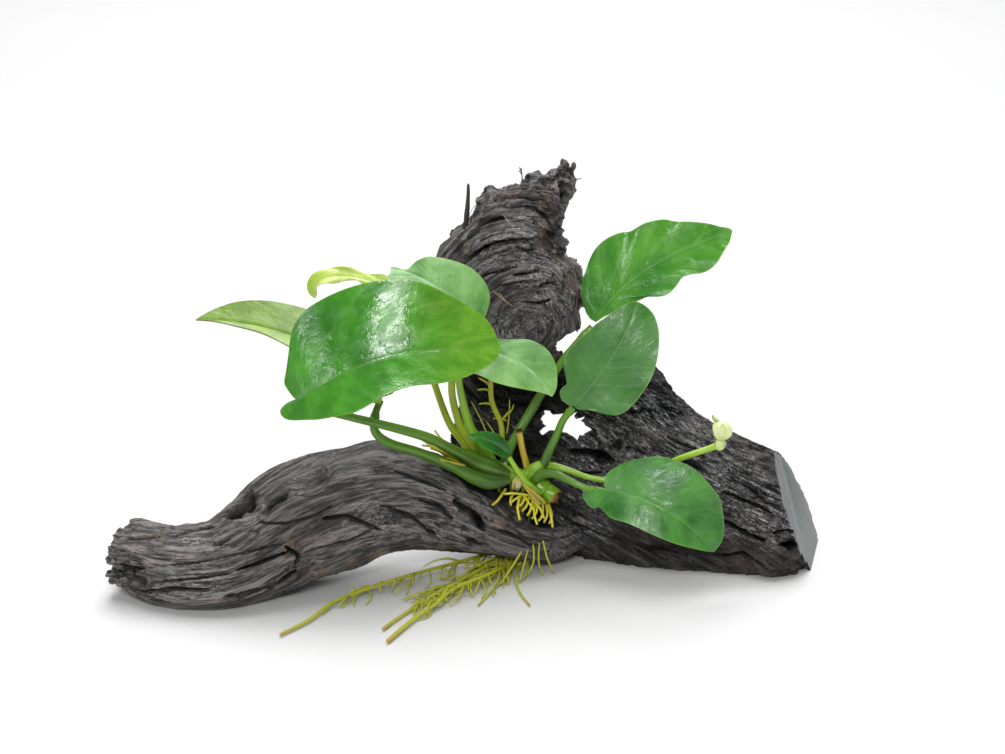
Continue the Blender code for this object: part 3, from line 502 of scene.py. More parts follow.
def grain_of(points):
    """Grain coordinates in millimetres for the three arms, and each arm's share in every point."""
    left, left_out = along_line(points, LEFT_ARM, [r[3:5] for r in LEFT_ARM])
    lined, right_out = along_line(points, RIGHT_ARM, [r[3:5] for r in RIGHT_ARM], upright=True)
    upper, upper_out = along_line(points, UPPER_ARM, [r[3:5] for r in UPPER_ARM], reference=(0, 1, 0))
    right, _ = along_line(points, RIGHT_GRAIN)
    arch = arch_grain(points)
    # The arches end below the torn top, where the grain follows the arm again.
    share = soft_step(*ARCH_END, points[:, 2])[:, None]
    crown = np.where(share > 0.5, upper, arch)
    pull = np.exp(-10 * np.column_stack((left_out, right_out, upper_out)))
    # The upper arm's grain takes over from the right arm's on a slant.
    pull[:, 2] *= soft_step(48, 66, points[:, 2] - 0.7 * (points[:, 0] - 28))
    return (left, right, crown), pull / (pull.sum(axis=1, keepdims=True) + 1e-12)


def grain_relief(coords, habit, shift):
    """Height of ridges, strands, overlapping plates and slits along the grain, in millimetres."""
    length, width = habit["length"], habit["width"]
    bend = noise_field(coords, (length, 3 * width, 3 * width), shift + 3.1)
    ridge = noise_field(coords, (length, width, width), shift)
    strand = noise_field(coords, (0.6 * length, 0.42 * width, 0.42 * width), shift + 11.3)
    slit_line = noise_field(coords, (0.8 * length, 0.75 * width, 0.75 * width), shift + 23.7)
    crumb = cell_field(coords + 1.5 * bend[:, None], (2.6, 1.1, 1.1), shift)
    phase = coords[:, 2] / habit["pitch"] + 1.1 * bend + 0.35 * ridge
    plate = 1 - (phase - np.floor(phase))
    slit = (1 - soft_step(0.0, 0.09, np.abs(slit_line))) * soft_step(0.08, 0.3, bend)
    height = habit["ridge"] * ridge + habit["strand"] * (0.5 - 1.6 * np.abs(strand)) + habit["plate"] * (plate**2 - 0.4)
    height += 0.16 * habit["ridge"] * crumb - habit["slit"] * slit
    return height, slit


def crevice_relief(points, facing):
    """Height of the crevices, pits and plate edges that are named in the tables, and the shade painted dark into the
    crevices and pits.
    """
    height, dark = np.zeros(len(points)), np.zeros(len(points))
    x, high, depth = points[:, 0], points @ VIEW_UP, points @ VIEW_AHEAD
    ragged = noise_field(points, (2.2, 2.2, 2.2), 5.5)
    for line, half, deep, lip in CREVICES:
        line = np.array(line)
        flat = np.column_stack((line[:, 0], line @ VIEW_UP))
        reach = 5 * half + 2
        near = (x > flat[:, 0].min() - reach) & (x < flat[:, 0].max() + reach) & (high > flat[:, 1].min() - reach)
        near &= (high < flat[:, 1].max() + reach) & (np.abs(depth - (line @ VIEW_AHEAD).mean()) < 14) & (facing > 0)
        spots = np.flatnonzero(near)
        if not len(spots):
            continue
        lengths = np.linalg.norm(np.diff(flat, axis=0), axis=1)
        whole, start = lengths.sum(), 0.0
        best, side, ran = np.full(len(spots), 1e9), np.zeros(len(spots)), np.zeros(len(spots))
        for a, b, span in zip(flat, flat[1:], lengths):
            way = (b - a) / span
            off = np.column_stack((x[spots], high[spots])) - a
            t = np.clip(off @ way, 0, span)
            gap = np.linalg.norm(off - t[:, None] * way, axis=1)
            closer = gap < best
            best[closer] = gap[closer]
            side[closer] = (way[0] * off[:, 1] - way[1] * off[:, 0])[closer]
            ran[closer] = (start + t)[closer] / whole
            start += span
        if flat[-1, 0] < flat[0, 0]:
            side = -side
        taper = np.sqrt(np.clip(np.sin(math.pi * (0.06 + 0.88 * ran)), 0, 1))
        wide = half * taper * (1 + 0.45 * ragged[spots])
        groove = 1 - soft_step(0.35, 1.0, best / np.maximum(wide, 0.05))
        edge = np.exp(-(((best - 1.2 * half) / (1.6 * half)) ** 2)) * (side > 0) * taper
        height[spots] += facing[spots] * (lip * edge * (1 - groove) - deep * groove)
        dark[spots] = np.maximum(dark[spots], facing[spots] * groove)
    for px, py, pz, reach, deep in PITS:
        away = np.linalg.norm(points - np.array((px, py, pz)), axis=1) / (reach * (1 + 0.4 * ragged))
        share = np.clip(1 - away * away, 0, 1)
        height -= deep * share**1.3
        if deep > 0:
            dark = np.maximum(dark, share)
    return height, dark


def calm_of(points):
    """How strongly the grain stands out: less on the worn hump and the upper arm's smooth front."""
    calm = np.ones(len(points))
    for x, y, z, reach, drop in CALM_PLACES:
        share = np.clip(1 - np.linalg.norm(points - np.array((x, y, z)), axis=1) / reach, 0, 1)
        calm -= drop * soft_step(0, 0.6, share)
    return np.clip(calm, 0.2, 1)


def carve(obj):
    """Gives the joined wood its grain, plates, slits and crevices."""
    mesh = obj.data
    points = positions(mesh)
    normals = np.empty(len(points) * 3)
    mesh.vertex_normals.foreach_get("vector", normals)
    normals = normals.reshape(-1, 3)
    facing = soft_step(0.02, 0.3, -(normals @ VIEW_AHEAD))
    coords, shares = grain_of(points)
    relief, slits = np.zeros(len(points)), np.zeros(len(points))
    for i, habit in enumerate((LEFT_HABIT, RIGHT_HABIT, UPPER_HABIT)):
        some = np.flatnonzero(shares[:, i] > 0.01)
        height, slit = grain_relief(coords[i][some], habit, 7.3 * i)
        relief[some] += shares[some, i] * height
        slits[some] += shares[some, i] * slit
    named, dark = crevice_relief(points, facing)
    torn = soft_step(*TORN_TOP, points[:, 2]) + soft_step(*TORN_LEFT, points[:, 0])
    crumbs = cell_field(points + 0.8 * relief[:, None], (1.9, 1.9, 3.0), 0.3)
    ragged = noise_field(points, (1.7, 1.7, 1.7), 1.0) + 0.6 * crumbs
    relief = relief * calm_of(points) * (1 - 0.6 * dark) + named + 0.8 * torn * ragged
    points = points + normals * relief[:, None]
    mesh.vertices.foreach_set("co", points.ravel())
    # The darkness of the crevices, pits, slits and the hollows of the relief is painted shade.
    write_field(mesh, "crevice_shade", np.clip(np.maximum(dark, 0.8 * slits) + 0.25 * np.clip(-relief, 0, 1), 0, 1))
    mesh.update()


def whole_wood(voxel):
    """The three arms joined into one skin, carved, then cut flat on the ground, sawn and pierced."""
    arms = [
        arm_form("right_form", RIGHT_ARM, 170, upright=True, phase=3.1),
        arm_form("left_form", LEFT_ARM, 190, boxiness=2.5, phase=0.4),
        arm_form("upper_form", UPPER_ARM, 130, reference=(0, 1, 0), phase=5.7, folds=1.0),
    ]
    arms += [rough_ball(f"bulge_{i}", *bulge, 0.25) for i, bulge in enumerate(BULGES)]
    joined = bmesh.new()
    for form in arms:
        joined.from_mesh(form.data)
        bpy.data.objects.remove(form)
    wood = mesh_object("whole_wood", joined)
    skin = wood.modifiers.new("Skin", "REMESH")
    skin.mode, skin.voxel_size = "VOXEL", voxel
    applied(wood)
    carve(wood)
    cutters = [
        half_space("ground_cutter", (0, 0, 0), (0, 0, -1)),
        half_space("saw_cutter", SAW_POINT, SAW_NORMAL),
        hole_plug(),
    ]
    cutters += [rough_ball(f"bite_{i}", *bite) for i, bite in enumerate(BITES)]
    for cutter in cutters:
        cut(wood, cutter, "DIFFERENCE")
    applied(wood)
    for cutter in cutters:
        bpy.data.objects.remove(cutter)
    return wood


def add_node(tree, kind, sockets=None, out=0, **settings):
    """Adds a node and returns one of its outputs. A socket's value is a number, a colour or the output linked to it."""
    made = tree.nodes.new(kind)
    for key, value in settings.items():
        setattr(made, key, value)
    for key, value in (sockets or {}).items():
        if isinstance(value, bpy.types.NodeSocket):
            tree.links.new(value, made.inputs[key])
        else:
            made.inputs[key].default_value = value
    return made.outputs[out]


def new_finish(name):
    """A new material, its nodes and its shader."""
    finish = bpy.data.materials.new(name)
    finish.use_nodes = True
    return finish, finish.node_tree, finish.node_tree.nodes["Principled BSDF"]


def black_wood():
    """Waterlogged root wood, split along its grain: near black, with grey strands and brown sapwood, wet glints painted
    into its colour as pale streaks, and painted shade in its crevices and under the plant.
    """
    finish, tree, shader = new_finish("waterlogged root wood")
    look = bpy.context.scene.driftwood_look
    grain = add_node(tree, "ShaderNodeAttribute", out="Vector", attribute_name="grain")
    fields = ("crevice_shade", "wet", "brown", "tan", "dust_and_shade")
    crevice_shade, wet, brown, tan, dust_and_shade = (
        add_node(tree, "ShaderNodeAttribute", out="Fac", attribute_name=key) for key in fields
    )
    noises = []
    for scale, shift, detail, rough, distortion in WOOD_NOISES.values():
        spot = add_node(tree, "ShaderNodeMapping", {"Vector": grain, "Scale": scale, "Location": shift})
        values = {"Vector": spot, "Scale": 1.0, "Detail": detail, "Roughness": rough, "Distortion": distortion}
        noises.append(add_node(tree, "ShaderNodeTexNoise", values))
    strand, fibre, speck, film, glint, crack = noises
    middle = add_node(tree, "ShaderNodeMath", {0: crack, 1: 0.5}, operation="SUBTRACT")
    aside = add_node(tree, "ShaderNodeMath", {0: middle}, operation="ABSOLUTE")
    split = add_node(tree, "ShaderNodeMapRange", {"Value": aside, "From Max": 0.022, "To Min": 1.0, "To Max": 0.0})
    both = add_node(tree, "ShaderNodeMix", {0: 0.45, 2: strand, 3: fibre}, data_type="FLOAT")
    pale = add_node(tree, "ShaderNodeMapRange", {"Value": both, "From Min": 0.455, "From Max": 0.555})
    # The strands' pale share is lowered where shade is painted under the plant.
    dust_and_shade_share = add_node(tree, "ShaderNodeMath", {0: pale, 1: dust_and_shade}, operation="MULTIPLY")
    browned = add_node(tree, "ShaderNodeMath", {0: brown, 1: speck}, operation="MULTIPLY")
    tanned = add_node(tree, "ShaderNodeMath", {0: tan, 1: fibre}, operation="MULTIPLY")
    cracked = add_node(tree, "ShaderNodeMath", {0: split, 1: 0.75}, operation="MULTIPLY")
    # Painted shade in the carved crevices, pits and slits, joined with the fine cracks' dark lines.
    shade_and_cracks = add_node(tree, "ShaderNodeMath", {0: cracked, 1: crevice_shade}, operation="MAXIMUM")
    # Painted highlights: where the wood is wet, pale silver streaks of about 3 by 0.7 mm are painted into its colour on
    # the ridges, as glints of a film of water.
    painted_streak_share = add_node(tree, "ShaderNodeMapRange", {"Value": film, "From Min": 0.54, "From Max": 0.59})
    # Single painted sparks of the film, under a millimetre long.
    painted_spark_share = add_node(tree, "ShaderNodeMapRange", {"Value": glint, "From Min": 0.58, "From Max": 0.62})
    painted_streaks = add_node(tree, "ShaderNodeMath", {0: painted_streak_share, 1: painted_spark_share, 2: 0.45}, operation="MULTIPLY_ADD")
    lit = add_node(tree, "ShaderNodeMath", {0: painted_streak_share, 1: painted_streaks}, operation="MULTIPLY", use_clamp=True)
    some = add_node(tree, "ShaderNodeMath", {0: painted_spark_share, 1: 0.5}, operation="MULTIPLY")
    spots = add_node(tree, "ShaderNodeMath", {0: lit, 1: some}, operation="MAXIMUM")
    wet_painted_glints = add_node(tree, "ShaderNodeMath", {0: spots, 1: wet}, operation="MULTIPLY")
    ridges = add_node(tree, "ShaderNodeMath", {0: 1.0, 1: shade_and_cracks}, operation="SUBTRACT", use_clamp=True)
    painted_glints = add_node(tree, "ShaderNodeMath", {0: wet_painted_glints, 1: ridges}, operation="MULTIPLY")
    colour = tuple(look.bark)
    layers = [(dust_and_shade_share, look.strand), (browned, look.brown), (tanned, look.tan)]
    layers += [(shade_and_cracks, linear("#080606")), (painted_glints, linear("#eef1f4"))]
    for share, shade in layers:
        colour = add_node(tree, "ShaderNodeMix", {0: share, 6: colour, 7: tuple(shade)}, out=2, data_type="RGBA")
    tree.links.new(colour, shader.inputs["Base Color"])
    dry_range = {"Value": fibre, "From Min": 0.35, "From Max": 0.65, "To Min": 0.36, "To Max": 0.6}
    wet_range = {"Value": speck, "From Min": 0.40, "From Max": 0.58, "To Min": 0.10, "To Max": 0.38}
    dry_gloss, wet_gloss = (add_node(tree, "ShaderNodeMapRange", values) for values in (dry_range, wet_range))
    gloss = add_node(tree, "ShaderNodeMix", {0: wet, 2: dry_gloss, 3: wet_gloss}, data_type="FLOAT")
    tree.links.new(gloss, shader.inputs["Roughness"])
    reliefs = [(strand, 1.0, 2.2, False), (fibre, 1.0, 1.0, False), (speck, 0.8, 0.8, False), (split, 0.8, 0.5, True)]
    below = {}
    for height, strength, depth, hollow in reliefs:
        sockets = {"Height": height, "Strength": strength, "Distance": depth * MM, **below}
        below = {"Normal": add_node(tree, "ShaderNodeBump", sockets, invert=hollow)}
    tree.links.new(below["Normal"], shader.inputs["Normal"])
    shader.inputs["IOR"].default_value = 1.5
    sheen = add_node(tree, "ShaderNodeMapRange", {"Value": dust_and_shade, "From Max": 0.8, "To Min": 0.3, "To Max": 0.85})
    tree.links.new(sheen, shader.inputs["Specular IOR Level"])
    return finish


def sawn_wood():
    """Wet sawn wood: dark grey, with fine lines left by the blade and faint growth rings."""
    finish, tree, shader = new_finish("wet sawn root wood")
    where = add_node(tree, "ShaderNodeTexCoord", out="Object")
    turned = add_node(tree, "ShaderNodeMapping", {"Vector": where, "Rotation": (0.0, 0.0, 0.12)})
    waves = {"Scale": math.tau / 20 / (BLADE_MARKS * MM), "Distortion": 3.2, "Detail": 3.0, "Detail Scale": 0.7}
    marks = add_node(tree, "ShaderNodeTexWave", {"Vector": turned, **waves}, out="Fac", bands_direction="Y")
    rings = add_node(tree, "ShaderNodeTexNoise", {"Vector": turned, "Scale": 160.0, "Detail": 4.0, "Distortion": 1.5})
    both = add_node(tree, "ShaderNodeMath", {0: marks, 1: rings}, operation="MULTIPLY")
    share = add_node(tree, "ShaderNodeMapRange", {"Value": both, "From Min": 0.05, "From Max": 0.5})
    greys = {0: share, 6: linear("#525857"), 7: linear("#7b8281")}
    tree.links.new(add_node(tree, "ShaderNodeMix", greys, out=2, data_type="RGBA"), shader.inputs["Base Color"])
    bump = add_node(tree, "ShaderNodeBump", {"Height": both, "Strength": 0.6, "Distance": 0.14 * MM})
    tree.links.new(bump, shader.inputs["Normal"])
    shader.inputs["Roughness"].default_value = 0.42
    return finish


def dress_wood(obj, arm, finishes):
    """Writes the grain and stain fields of one arm, with the shade painted under the plant, and gives its sawn face its
    own finish.
    """
    mesh = obj.data
    points = positions(mesh)
    if arm == "left":
        coords, _ = along_line(points, LEFT_ARM)
    elif arm == "right":
        coords, _ = along_line(points, RIGHT_GRAIN)
    else:
        coords = arch_grain(points)
    write_field(mesh, "grain", coords)
    # The stains break up along the grain.
    patchy = 0.5 + 0.9 * noise_field(coords, (9, 2.5, 2.5), 4.4)
    write_field(mesh, "wet", np.clip(near_places(points, WET_PLACES) * (0.8 + patchy) + 0.3 * patchy - 0.1, 0, 1))
    write_field(mesh, "brown", np.clip(near_places(points, BROWN_PLACES) * (0.7 + patchy), 0, 1))
    write_field(mesh, "tan", np.clip(near_places(points, TAN_PLACES) * (0.8 + patchy), 0, 1))
    # The strands are palest on the left arm's front and the upper arm; under the plant, behind the left arm's edge and
    # low near the crown, they are painted nearly black as shade.
    x, y, z = points.T
    edge = np.interp(x, *zip(*LEFT_EDGE))
    front = soft_step(-1.0, 1.0, edge + 0.6 - y) * soft_step(-46, -30, -x) * (z < 60)
    back = np.where(z > 50, 0.85 * soft_step(58, 78, z), 0.05 + 0.3 * soft_step(24, 60, x))
    coarse = 0.5 + 0.9 * noise_field(points, 7.0, 9.1)
    write_field(mesh, "dust_and_shade", np.clip((back + (1 - back) * front) * (0.55 + 0.4 * patchy + 0.5 * coarse), 0, 1))
    mesh.materials.clear()
    for finish in finishes:
        mesh.materials.append(finish)
    # Only the faces in the plane of the saw cut take the second finish.
    normal = Vector(SAW_NORMAL).normalized()
    for face in mesh.polygons:
        sawn = face.normal.dot(normal) > 0.999 and abs((face.center - Vector(SAW_POINT)).dot(normal)) < 0.05
        face.material_index = 1 if sawn else 0
    mesh.shade_smooth()
    mesh.set_sharp_from_angle(angle=math.radians(62))


class ANUBIAS_OT_driftwood(bpy.types.Operator):
    """Builds the three arms of the driftwood"""

    bl_idname = "anubias.driftwood"
    bl_label = "Driftwood"

    def execute(self, context):
        whole = whole_wood(context.scene.driftwood_look.voxel)
        left_block = plan_block("left_block", LEFT_REGION, -0.5 * SEAM)
        left_rest = plan_block("left_rest", LEFT_REGION, 0.5 * SEAM)
        upper_block = half_space("upper_block", UPPER_POINT, UPPER_NORMAL, 0.5 * SEAM)
        upper_rest = half_space("upper_rest", UPPER_POINT, UPPER_NORMAL, -0.5 * SEAM)
        finishes = [black_wood(), sawn_wood()]
        pieces = {
            "left": [(left_block, "INTERSECT")],
            "right": [(left_rest, "DIFFERENCE"), (upper_rest, "DIFFERENCE")],
            "upper": [(left_rest, "DIFFERENCE"), (upper_block, "INTERSECT")],
        }
        for arm, cuts in pieces.items():
            piece = bpy.data.objects.new(f"grained_{arm}_arm", whole.data.copy())
            context.scene.collection.objects.link(piece)
            for cutter, operation in cuts:
                cut(piece, cutter, operation)
            applied(piece)
            dress_wood(piece, arm, finishes)
            stand_in_for(place(piece), "root_wood", f"wood_{arm}_arm")
        for helper in (whole, left_block, left_rest, upper_block, upper_rest):
            bpy.data.objects.remove(helper)
        return {"FINISHED"}


# Each leaf: control points of its midrib's curve, the way its upper side faces at foot and tip, how steeply its
# left and right halves rise from the midrib, the height and number of its edge's waves, and the outline of each
# half laid flat: across and along from the foot of the midrib to the tip, seen from above with the tip ahead.
LEAVES = {
    "leaf_01": {
        "rib": [(-50, -34, 73), (-23, -46, 96), (11, -26, 86)],
        "faces": [(-0.3, -0.8, 0.5), (0.1, -0.9, 0.45)], "rise": (0.1, 0.1), "wave": (0.5, 3),
        "left": [(0, 0), (-1, -2), (-5, -3.2), (-7.5, -3.4), (-10, -1.3), (-15, 3), (-20, 7.3), (-23, 12.5),
          (-24.2, 19), (-24.6, 27), (-23.8, 36), (-21.5, 44.5), (-18, 51), (-13.5, 58.5), (-9.5, 64.3), (-5, 67.6),
          (-0.8, 69.6)],
        "right": [(0, 0), (-1, -3), (-1.3, -6.5), (-0.5, -9), (1.5, -9), (4, -6.9), (7, -1.3), (9.8, 4.5),
          (12.4, 12.5), (13.4, 17.5), (12.5, 23.6), (11, 30.6), (10.5, 38), (10.8, 46), (9.6, 54), (7, 61),
          (4, 66.2), (1.5, 68.8), (-0.8, 69.6)],
    },
    "leaf_02": {
        "rib": [(44, 9.4, 85.4), (54, 9, 104.4), (86, 1, 117.4)],
        "faces": [(-0.5, -0.85, 0.3), (0, -0.93, 0.35)], "rise": (0.12, 0.12), "wave": (0.9, 5),
        "left": [(0, 0), (-3.6, 0.2), (-6.7, 2.3), (-9.2, 4.8), (-12.4, 8.8), (-14.8, 13), (-16, 18.5),
          (-15.4, 23.5), (-13.6, 27), (-13.4, 32), (-12, 37), (-9.8, 40), (-7.9, 44), (-5.4, 49), (-2.8, 53),
          (-1.5, 55.4), (-0.4, 56)],
        "right": [(0, 0), (0.8, 1.5), (2.9, 6.6), (4.8, 11), (6.5, 16.5), (7.8, 21.5), (10, 25), (10.4, 28),
          (9.4, 31.5), (8, 35), (8.2, 39), (9.2, 42.5), (8.8, 46), (7.5, 48.8), (5, 51.5), (2.6, 54.2), (-0.4, 56)],
    },
    "leaf_03": {
        "rib": [(36.5, -7, 61.3), (53, -12.5, 82), (61, -3.5, 93)],
        "faces": [(-0.2, -0.9, 0.35), (0.3, -0.6, 0.75)], "rise": (0.1, 0.1), "wave": (0.6, 3),
        "left": [(0, 0), (-1.8, -1.1), (-4.2, -1.6), (-6.5, -0.2), (-6.9, 2), (-6.6, 3.8), (-8.5, 5.8),
          (-11.4, 8.2), (-13.5, 12), (-13.4, 17), (-12.4, 23.5), (-11.6, 28), (-9.6, 34.5), (-7.2, 39.2),
          (-5, 41.2)],
        "right": [(0, 0), (2, 0.8), (3.9, 2.5), (5.5, 4.8), (8.5, 6.3), (11.5, 7.8), (13.4, 10.4), (14.2, 14),
          (14, 18.5), (13, 24), (11, 29), (8.2, 33.5), (5.2, 37.4), (1.5, 40.6), (-2, 41.5), (-5, 41.2)],
    },
    "leaf_04": {
        "rib": [(47, -12, 34), (67, -24, 35), (83, -20, 15)],
        "faces": [(-0.12, -0.85, 0.4), (0.34, -0.85, 0.36)], "rise": (0.1, 0.1), "wave": (0.5, 3),
        "left": [(0, 0), (-2, -0.6), (-4.5, -0.4), (-6.4, 0.9), (-9.7, 4.8), (-12.7, 9.4), (-15.2, 14),
          (-16.4, 19.5), (-16.2, 24), (-14.7, 29.3), (-13.4, 33.6), (-10.4, 38), (-7, 41.4), (-3.5, 43.4),
          (0.3, 43.8)],
        "right": [(0, 0), (0.5, -2), (0, -4), (0.2, -6), (2, -7.5), (4, -7.3), (6, -5.2), (7, -3), (6.1, -1),
          (7.2, 1.5), (9, 5), (9.1, 12), (9.2, 19), (8.7, 25), (7.2, 31), (4.8, 36.6), (2.4, 41), (0.3, 43.8)],
    },
    "leaf_05": {
        "rib": [(1, -8, 81), (16, -12, 84), (30, -16, 69)],
        "faces": [(0, -0.6, 0.8), (0.3, -0.8, 0.5)], "rise": (0.1, -0.05), "wave": (0.3, 3),
        "left": [(0, 0), (-2.5, -1), (-4, 3), (-4.3, 9), (-5.6, 13), (-8, 17), (-8.7, 21), (-8.3, 24.5), (-6.6, 28),
          (-3.8, 31), (-1, 33.2), (1.8, 34.2)],
        "right": [(0, 0), (4, -1.5), (7.8, 1), (9.6, 6.8), (10.3, 12.3), (9.8, 16.6), (8.8, 21), (7, 25),
          (4.8, 28.6), (2.8, 32), (1.8, 34.2)],
    },
    "leaf_06": {
        "rib": [(4, 2, 86), (-7, 4, 102), (-24, 12, 103)],
        "faces": [(0.3, -0.7, 0.65), (-0.1, -0.6, 0.8)], "rise": (0.12, 0.12), "wave": (0.5, 3),
        "left": [(0, 0), (-5, -1), (-9, 4), (-10.5, 12), (-9.6, 20), (-8, 27), (-6, 32.5), (-4.6, 34.6), (-2, 34.6),
          (0.2, 36)],
        "right": [(0, 0), (4.6, 0.7), (8.2, 2.3), (10.8, 4.6), (12.2, 8), (12.5, 13), (11.9, 17), (10.7, 20.3),
          (9, 23.6), (7.4, 26.2), (4.6, 28.6), (1.5, 29.8), (0.6, 31.5), (0.6, 34), (0.2, 36)],
    },
    "leaf_07": {
        "rib": [(-16, 13, 90), (-35, 18, 103.5), (-55, 21, 99.5), (-49.5, 19, 89.5)],
        "faces": [(0.1, -0.3, 1), (-0.75, -0.45, 0.5)], "rise": (0.25, 0.25), "wave": (1.1, 3.5),
        "left": [(0, 0), (-1.4, 0.6), (-2.6, 5), (-3.2, 12), (-3, 19), (-2.6, 26), (-3.6, 31), (-3.4, 36),
          (-1.6, 40), (0, 42)],
        "right": [(0, 0), (1.6, 0.6), (3, 5), (3.4, 12), (3.2, 19), (2.8, 26), (4, 31), (4.2, 36), (2.2, 40),
          (0, 42)],
    },
    "leaf_08": {
        "rib": [(-26, -15, 67.3), (-48, -9, 91), (-87, 2, 88)],
        "faces": [(0.2, -0.6, 0.8), (0.1, -0.5, 0.85)], "rise": (0.45, 0.15), "wave": (0.3, 3),
        "left": [(0, 0), (-4, -1), (-6.4, 6), (-7, 18), (-6.8, 32), (-5.6, 40), (-4.2, 46), (-2.6, 54), (-1, 62),
          (0, 69.8)],
        "right": [(0, 0), (5, -1.5), (9, 3), (11.5, 12), (12, 24), (11.4, 35), (10.6, 44), (9.2, 53), (7.8, 58.7),
          (5.4, 63.2), (3, 66.6), (0, 69.8)],
    },
    "young_leaf": {
        "rib": [(15, -4, 43), (9, -8, 51), (0, -10, 52)],
        "faces": [(0.3, -0.8, 0.6), (0.2, -0.8, 0.6)], "rise": (0.15, 0.15), "wave": (0.2, 2),
        "left": [(0, 0), (-1.8, 0.8), (-2.8, 4), (-3.1, 8), (-2.5, 12), (-1.2, 15.5), (0, 17.6)],
        "right": [(0, 0), (2, 0.5), (3.3, 4), (3.4, 8), (2.6, 12), (1.3, 15.5), (0, 17.6)],
    },
}
# Side veins fan out from the foot of the midrib along this share of the outline, then leave it one after another.
# The share of the outline that the fan of veins at the foot takes, how far side veins lean forward, and their number.
FAN_SHARE, VEIN_LEAN, VEIN_COUNT = 0.12, 1.6, 8
# Faces across and along a grown leaf and the small young one.
LEAF_GRID, YOUNG_GRID = (56, 84), (24, 32)
# What the leaves' finish reads: the side veins' count, the distances from midrib and edge, and the run to the tip.
LEAF_FIELDS = ("vein", "from_rib", "from_rim", "run")
# Leaf stalks from the crown to the blade: guide points, the radius at each, and how olive and dark the stalk is.
STALKS = {
    "leaf_01": ([(15, -1.2, 35), (9, -2.6, 38), (3.4, -4.1, 41), (-4.5, -7, 46.4), (-14, -12, 53), (-37, -26, 64.5),
      (-49.5, -34, 70.2)], [1.6, 3, 2.5, 1.8, 1.6, 1.3, 1.2], 0.9),
    "leaf_02": ([(14, 2.5, 36), (15, 4.2, 41), (18, 5.2, 47), (26, 6.5, 61), (34, 9, 73), (43, 11.3, 83)],
      [2.2, 1.9, 1.6, 1.5, 1.3, 1.2], 0.6),
    "leaf_03": ([(25.5, -0.6, 34.5), (27.3, -1.3, 39.9), (28.8, -1.5, 44), (31, -1.8, 49), (33, -3.5, 55),
      (36, -4.5, 59.5)], [2, 1.7, 1.5, 1.3, 1.2, 1.2], 0.7),
    "leaf_04": ([(23, -1.5, 32.5), (26, -3.6, 36), (30, -6, 37.2), (34.6, -8, 35.8), (38.6, -9.3, 34.2),
      (43, -9.8, 32.6), (46.8, -9.2, 31.2)], [2.4, 1.9, 1.5, 1.3, 1.1, 1.1, 1.1], 0.5),
    "leaf_05": ([(9, 1.2, 39), (5.5, 1.4, 45), (2, 0, 52), (-1, -3, 66), (-1, -5, 74), (1, -6, 79)],
      [2.2, 1.9, 1.5, 1.2, 1.1, 1.1], 0.2),
    "leaf_06": ([(6, 4, 39), (3, 5, 44), (-1.5, 5, 51), (-4, 5, 64), (-1, 5.5, 76), (3.5, 4.5, 86)],
      [2, 1.6, 1.3, 1.2, 1.1, 1], 0),
    "leaf_07": ([(3, 6.5, 38.5), (0, 7.7, 43.3), (-5, 8, 50), (-10, 9, 64), (-16, 13, 83), (-20.5, 16, 91)],
      [1.8, 1.5, 1.2, 1.1, 1, 1], 0.1),
    "leaf_08": ([(15, -2.6, 33.6), (9, -4.8, 34), (3.7, -6.3, 36), (-2.5, -9.3, 40.5), (-14, -13, 47),
      (-24, -15.5, 51.5), (-28.5, -16, 56), (-28, -15.4, 62), (-26.5, -13.3, 65.3)],
      [1.6, 2.8, 2.6, 1.9, 1.6, 1.5, 1.4, 1.2, 1.1], 0.9),
    "young_leaf": ([(25.5, -4.4, 29.5), (22.5, -5.6, 32.5), (19.5, -6.5, 36), (15.2, -5.2, 42.6)],
      [1.3, 1, 0.9, 0.8], 0.1),
    "furled_leaf": ([(20.5, -0.8, 32.5), (23, -1.4, 36.4), (26, -1.2, 38.2), (30, -0.4, 37.6), (35, -1.2, 36.6),
      (42, -3.5, 34.8), (50, -5, 34.5), (60, -7.5, 38), (72, -9.5, 44), (81, -10, 47.5), (83.5, -10.1, 48.6)],
      [2.6, 2.3, 1.8, 1.4, 1.1, 0.95, 0.9, 0.95, 1, 1.05, 1.1], -0.2),
}
# The furled leaf's ball, its two rolled lobes, its tip and the core: guide points, radii and share of green dye.
FURLED_PARTS = [
    ([(82.8, -10.4, 48.2), (84, -10.4, 48.8), (85, -10.3, 49.6), (85.6, -10.1, 50.6)], [1.3, 2.1, 2, 0.9], 0.4),
    ([(84.6, -9.9, 50.2), (83.6, -9.6, 53), (84, -9.2, 55.2), (86, -8.9, 56)], [1.1, 1.7, 1.8, 0.7], 0),
    ([(85.2, -9.8, 50.6), (86.3, -9.6, 52.4), (86.7, -9.5, 54.2), (85.2, -9.2, 56.2)], [0.9, 1.9, 1.8, 0.7], 0),
    ([(84.6, -9.2, 55), (83.4, -8.8, 56.4), (82.3, -8.4, 57.6), (81.9, -8.2, 58.6)], [1.2, 0.9, 0.55, 0.2], 0.9),
    ([(84.8, -9.6, 51), (85, -9.8, 53.4), (85.2, -9.4, 55.4)], [1.6, 2, 1.3], 0.15),
]
CUT_STALK = [(21.8, 0.6, 34.5), (20.8, 1.4, 38.5), (19.6, 1.4, 43.5), (18.5, 1, 50)]
CUT_STALK_RADII = [1.35, 1.2, 1.1, 1.15]

# The creeping stem, from the young end on the left to the old cut end on the right.
RHIZOME = [(0, 3, 40.3), (6, 2, 38), (14, 1, 34.5), (21, 0, 32.5), (26, -1.4, 30.4), (30.6, -3.6, 27.8)]
RHIZOME_RADII = [2.6, 3.2, 3.0, 3.4, 3.3, 2.9]
# Papery remains of old sheaths round the stem: the share of its length, width, start and end angle and colour.
SCALES = [(0.55, 1.3, -80, 55, 0.85), (0.51, 1.6, -70, 30, 0.3)]
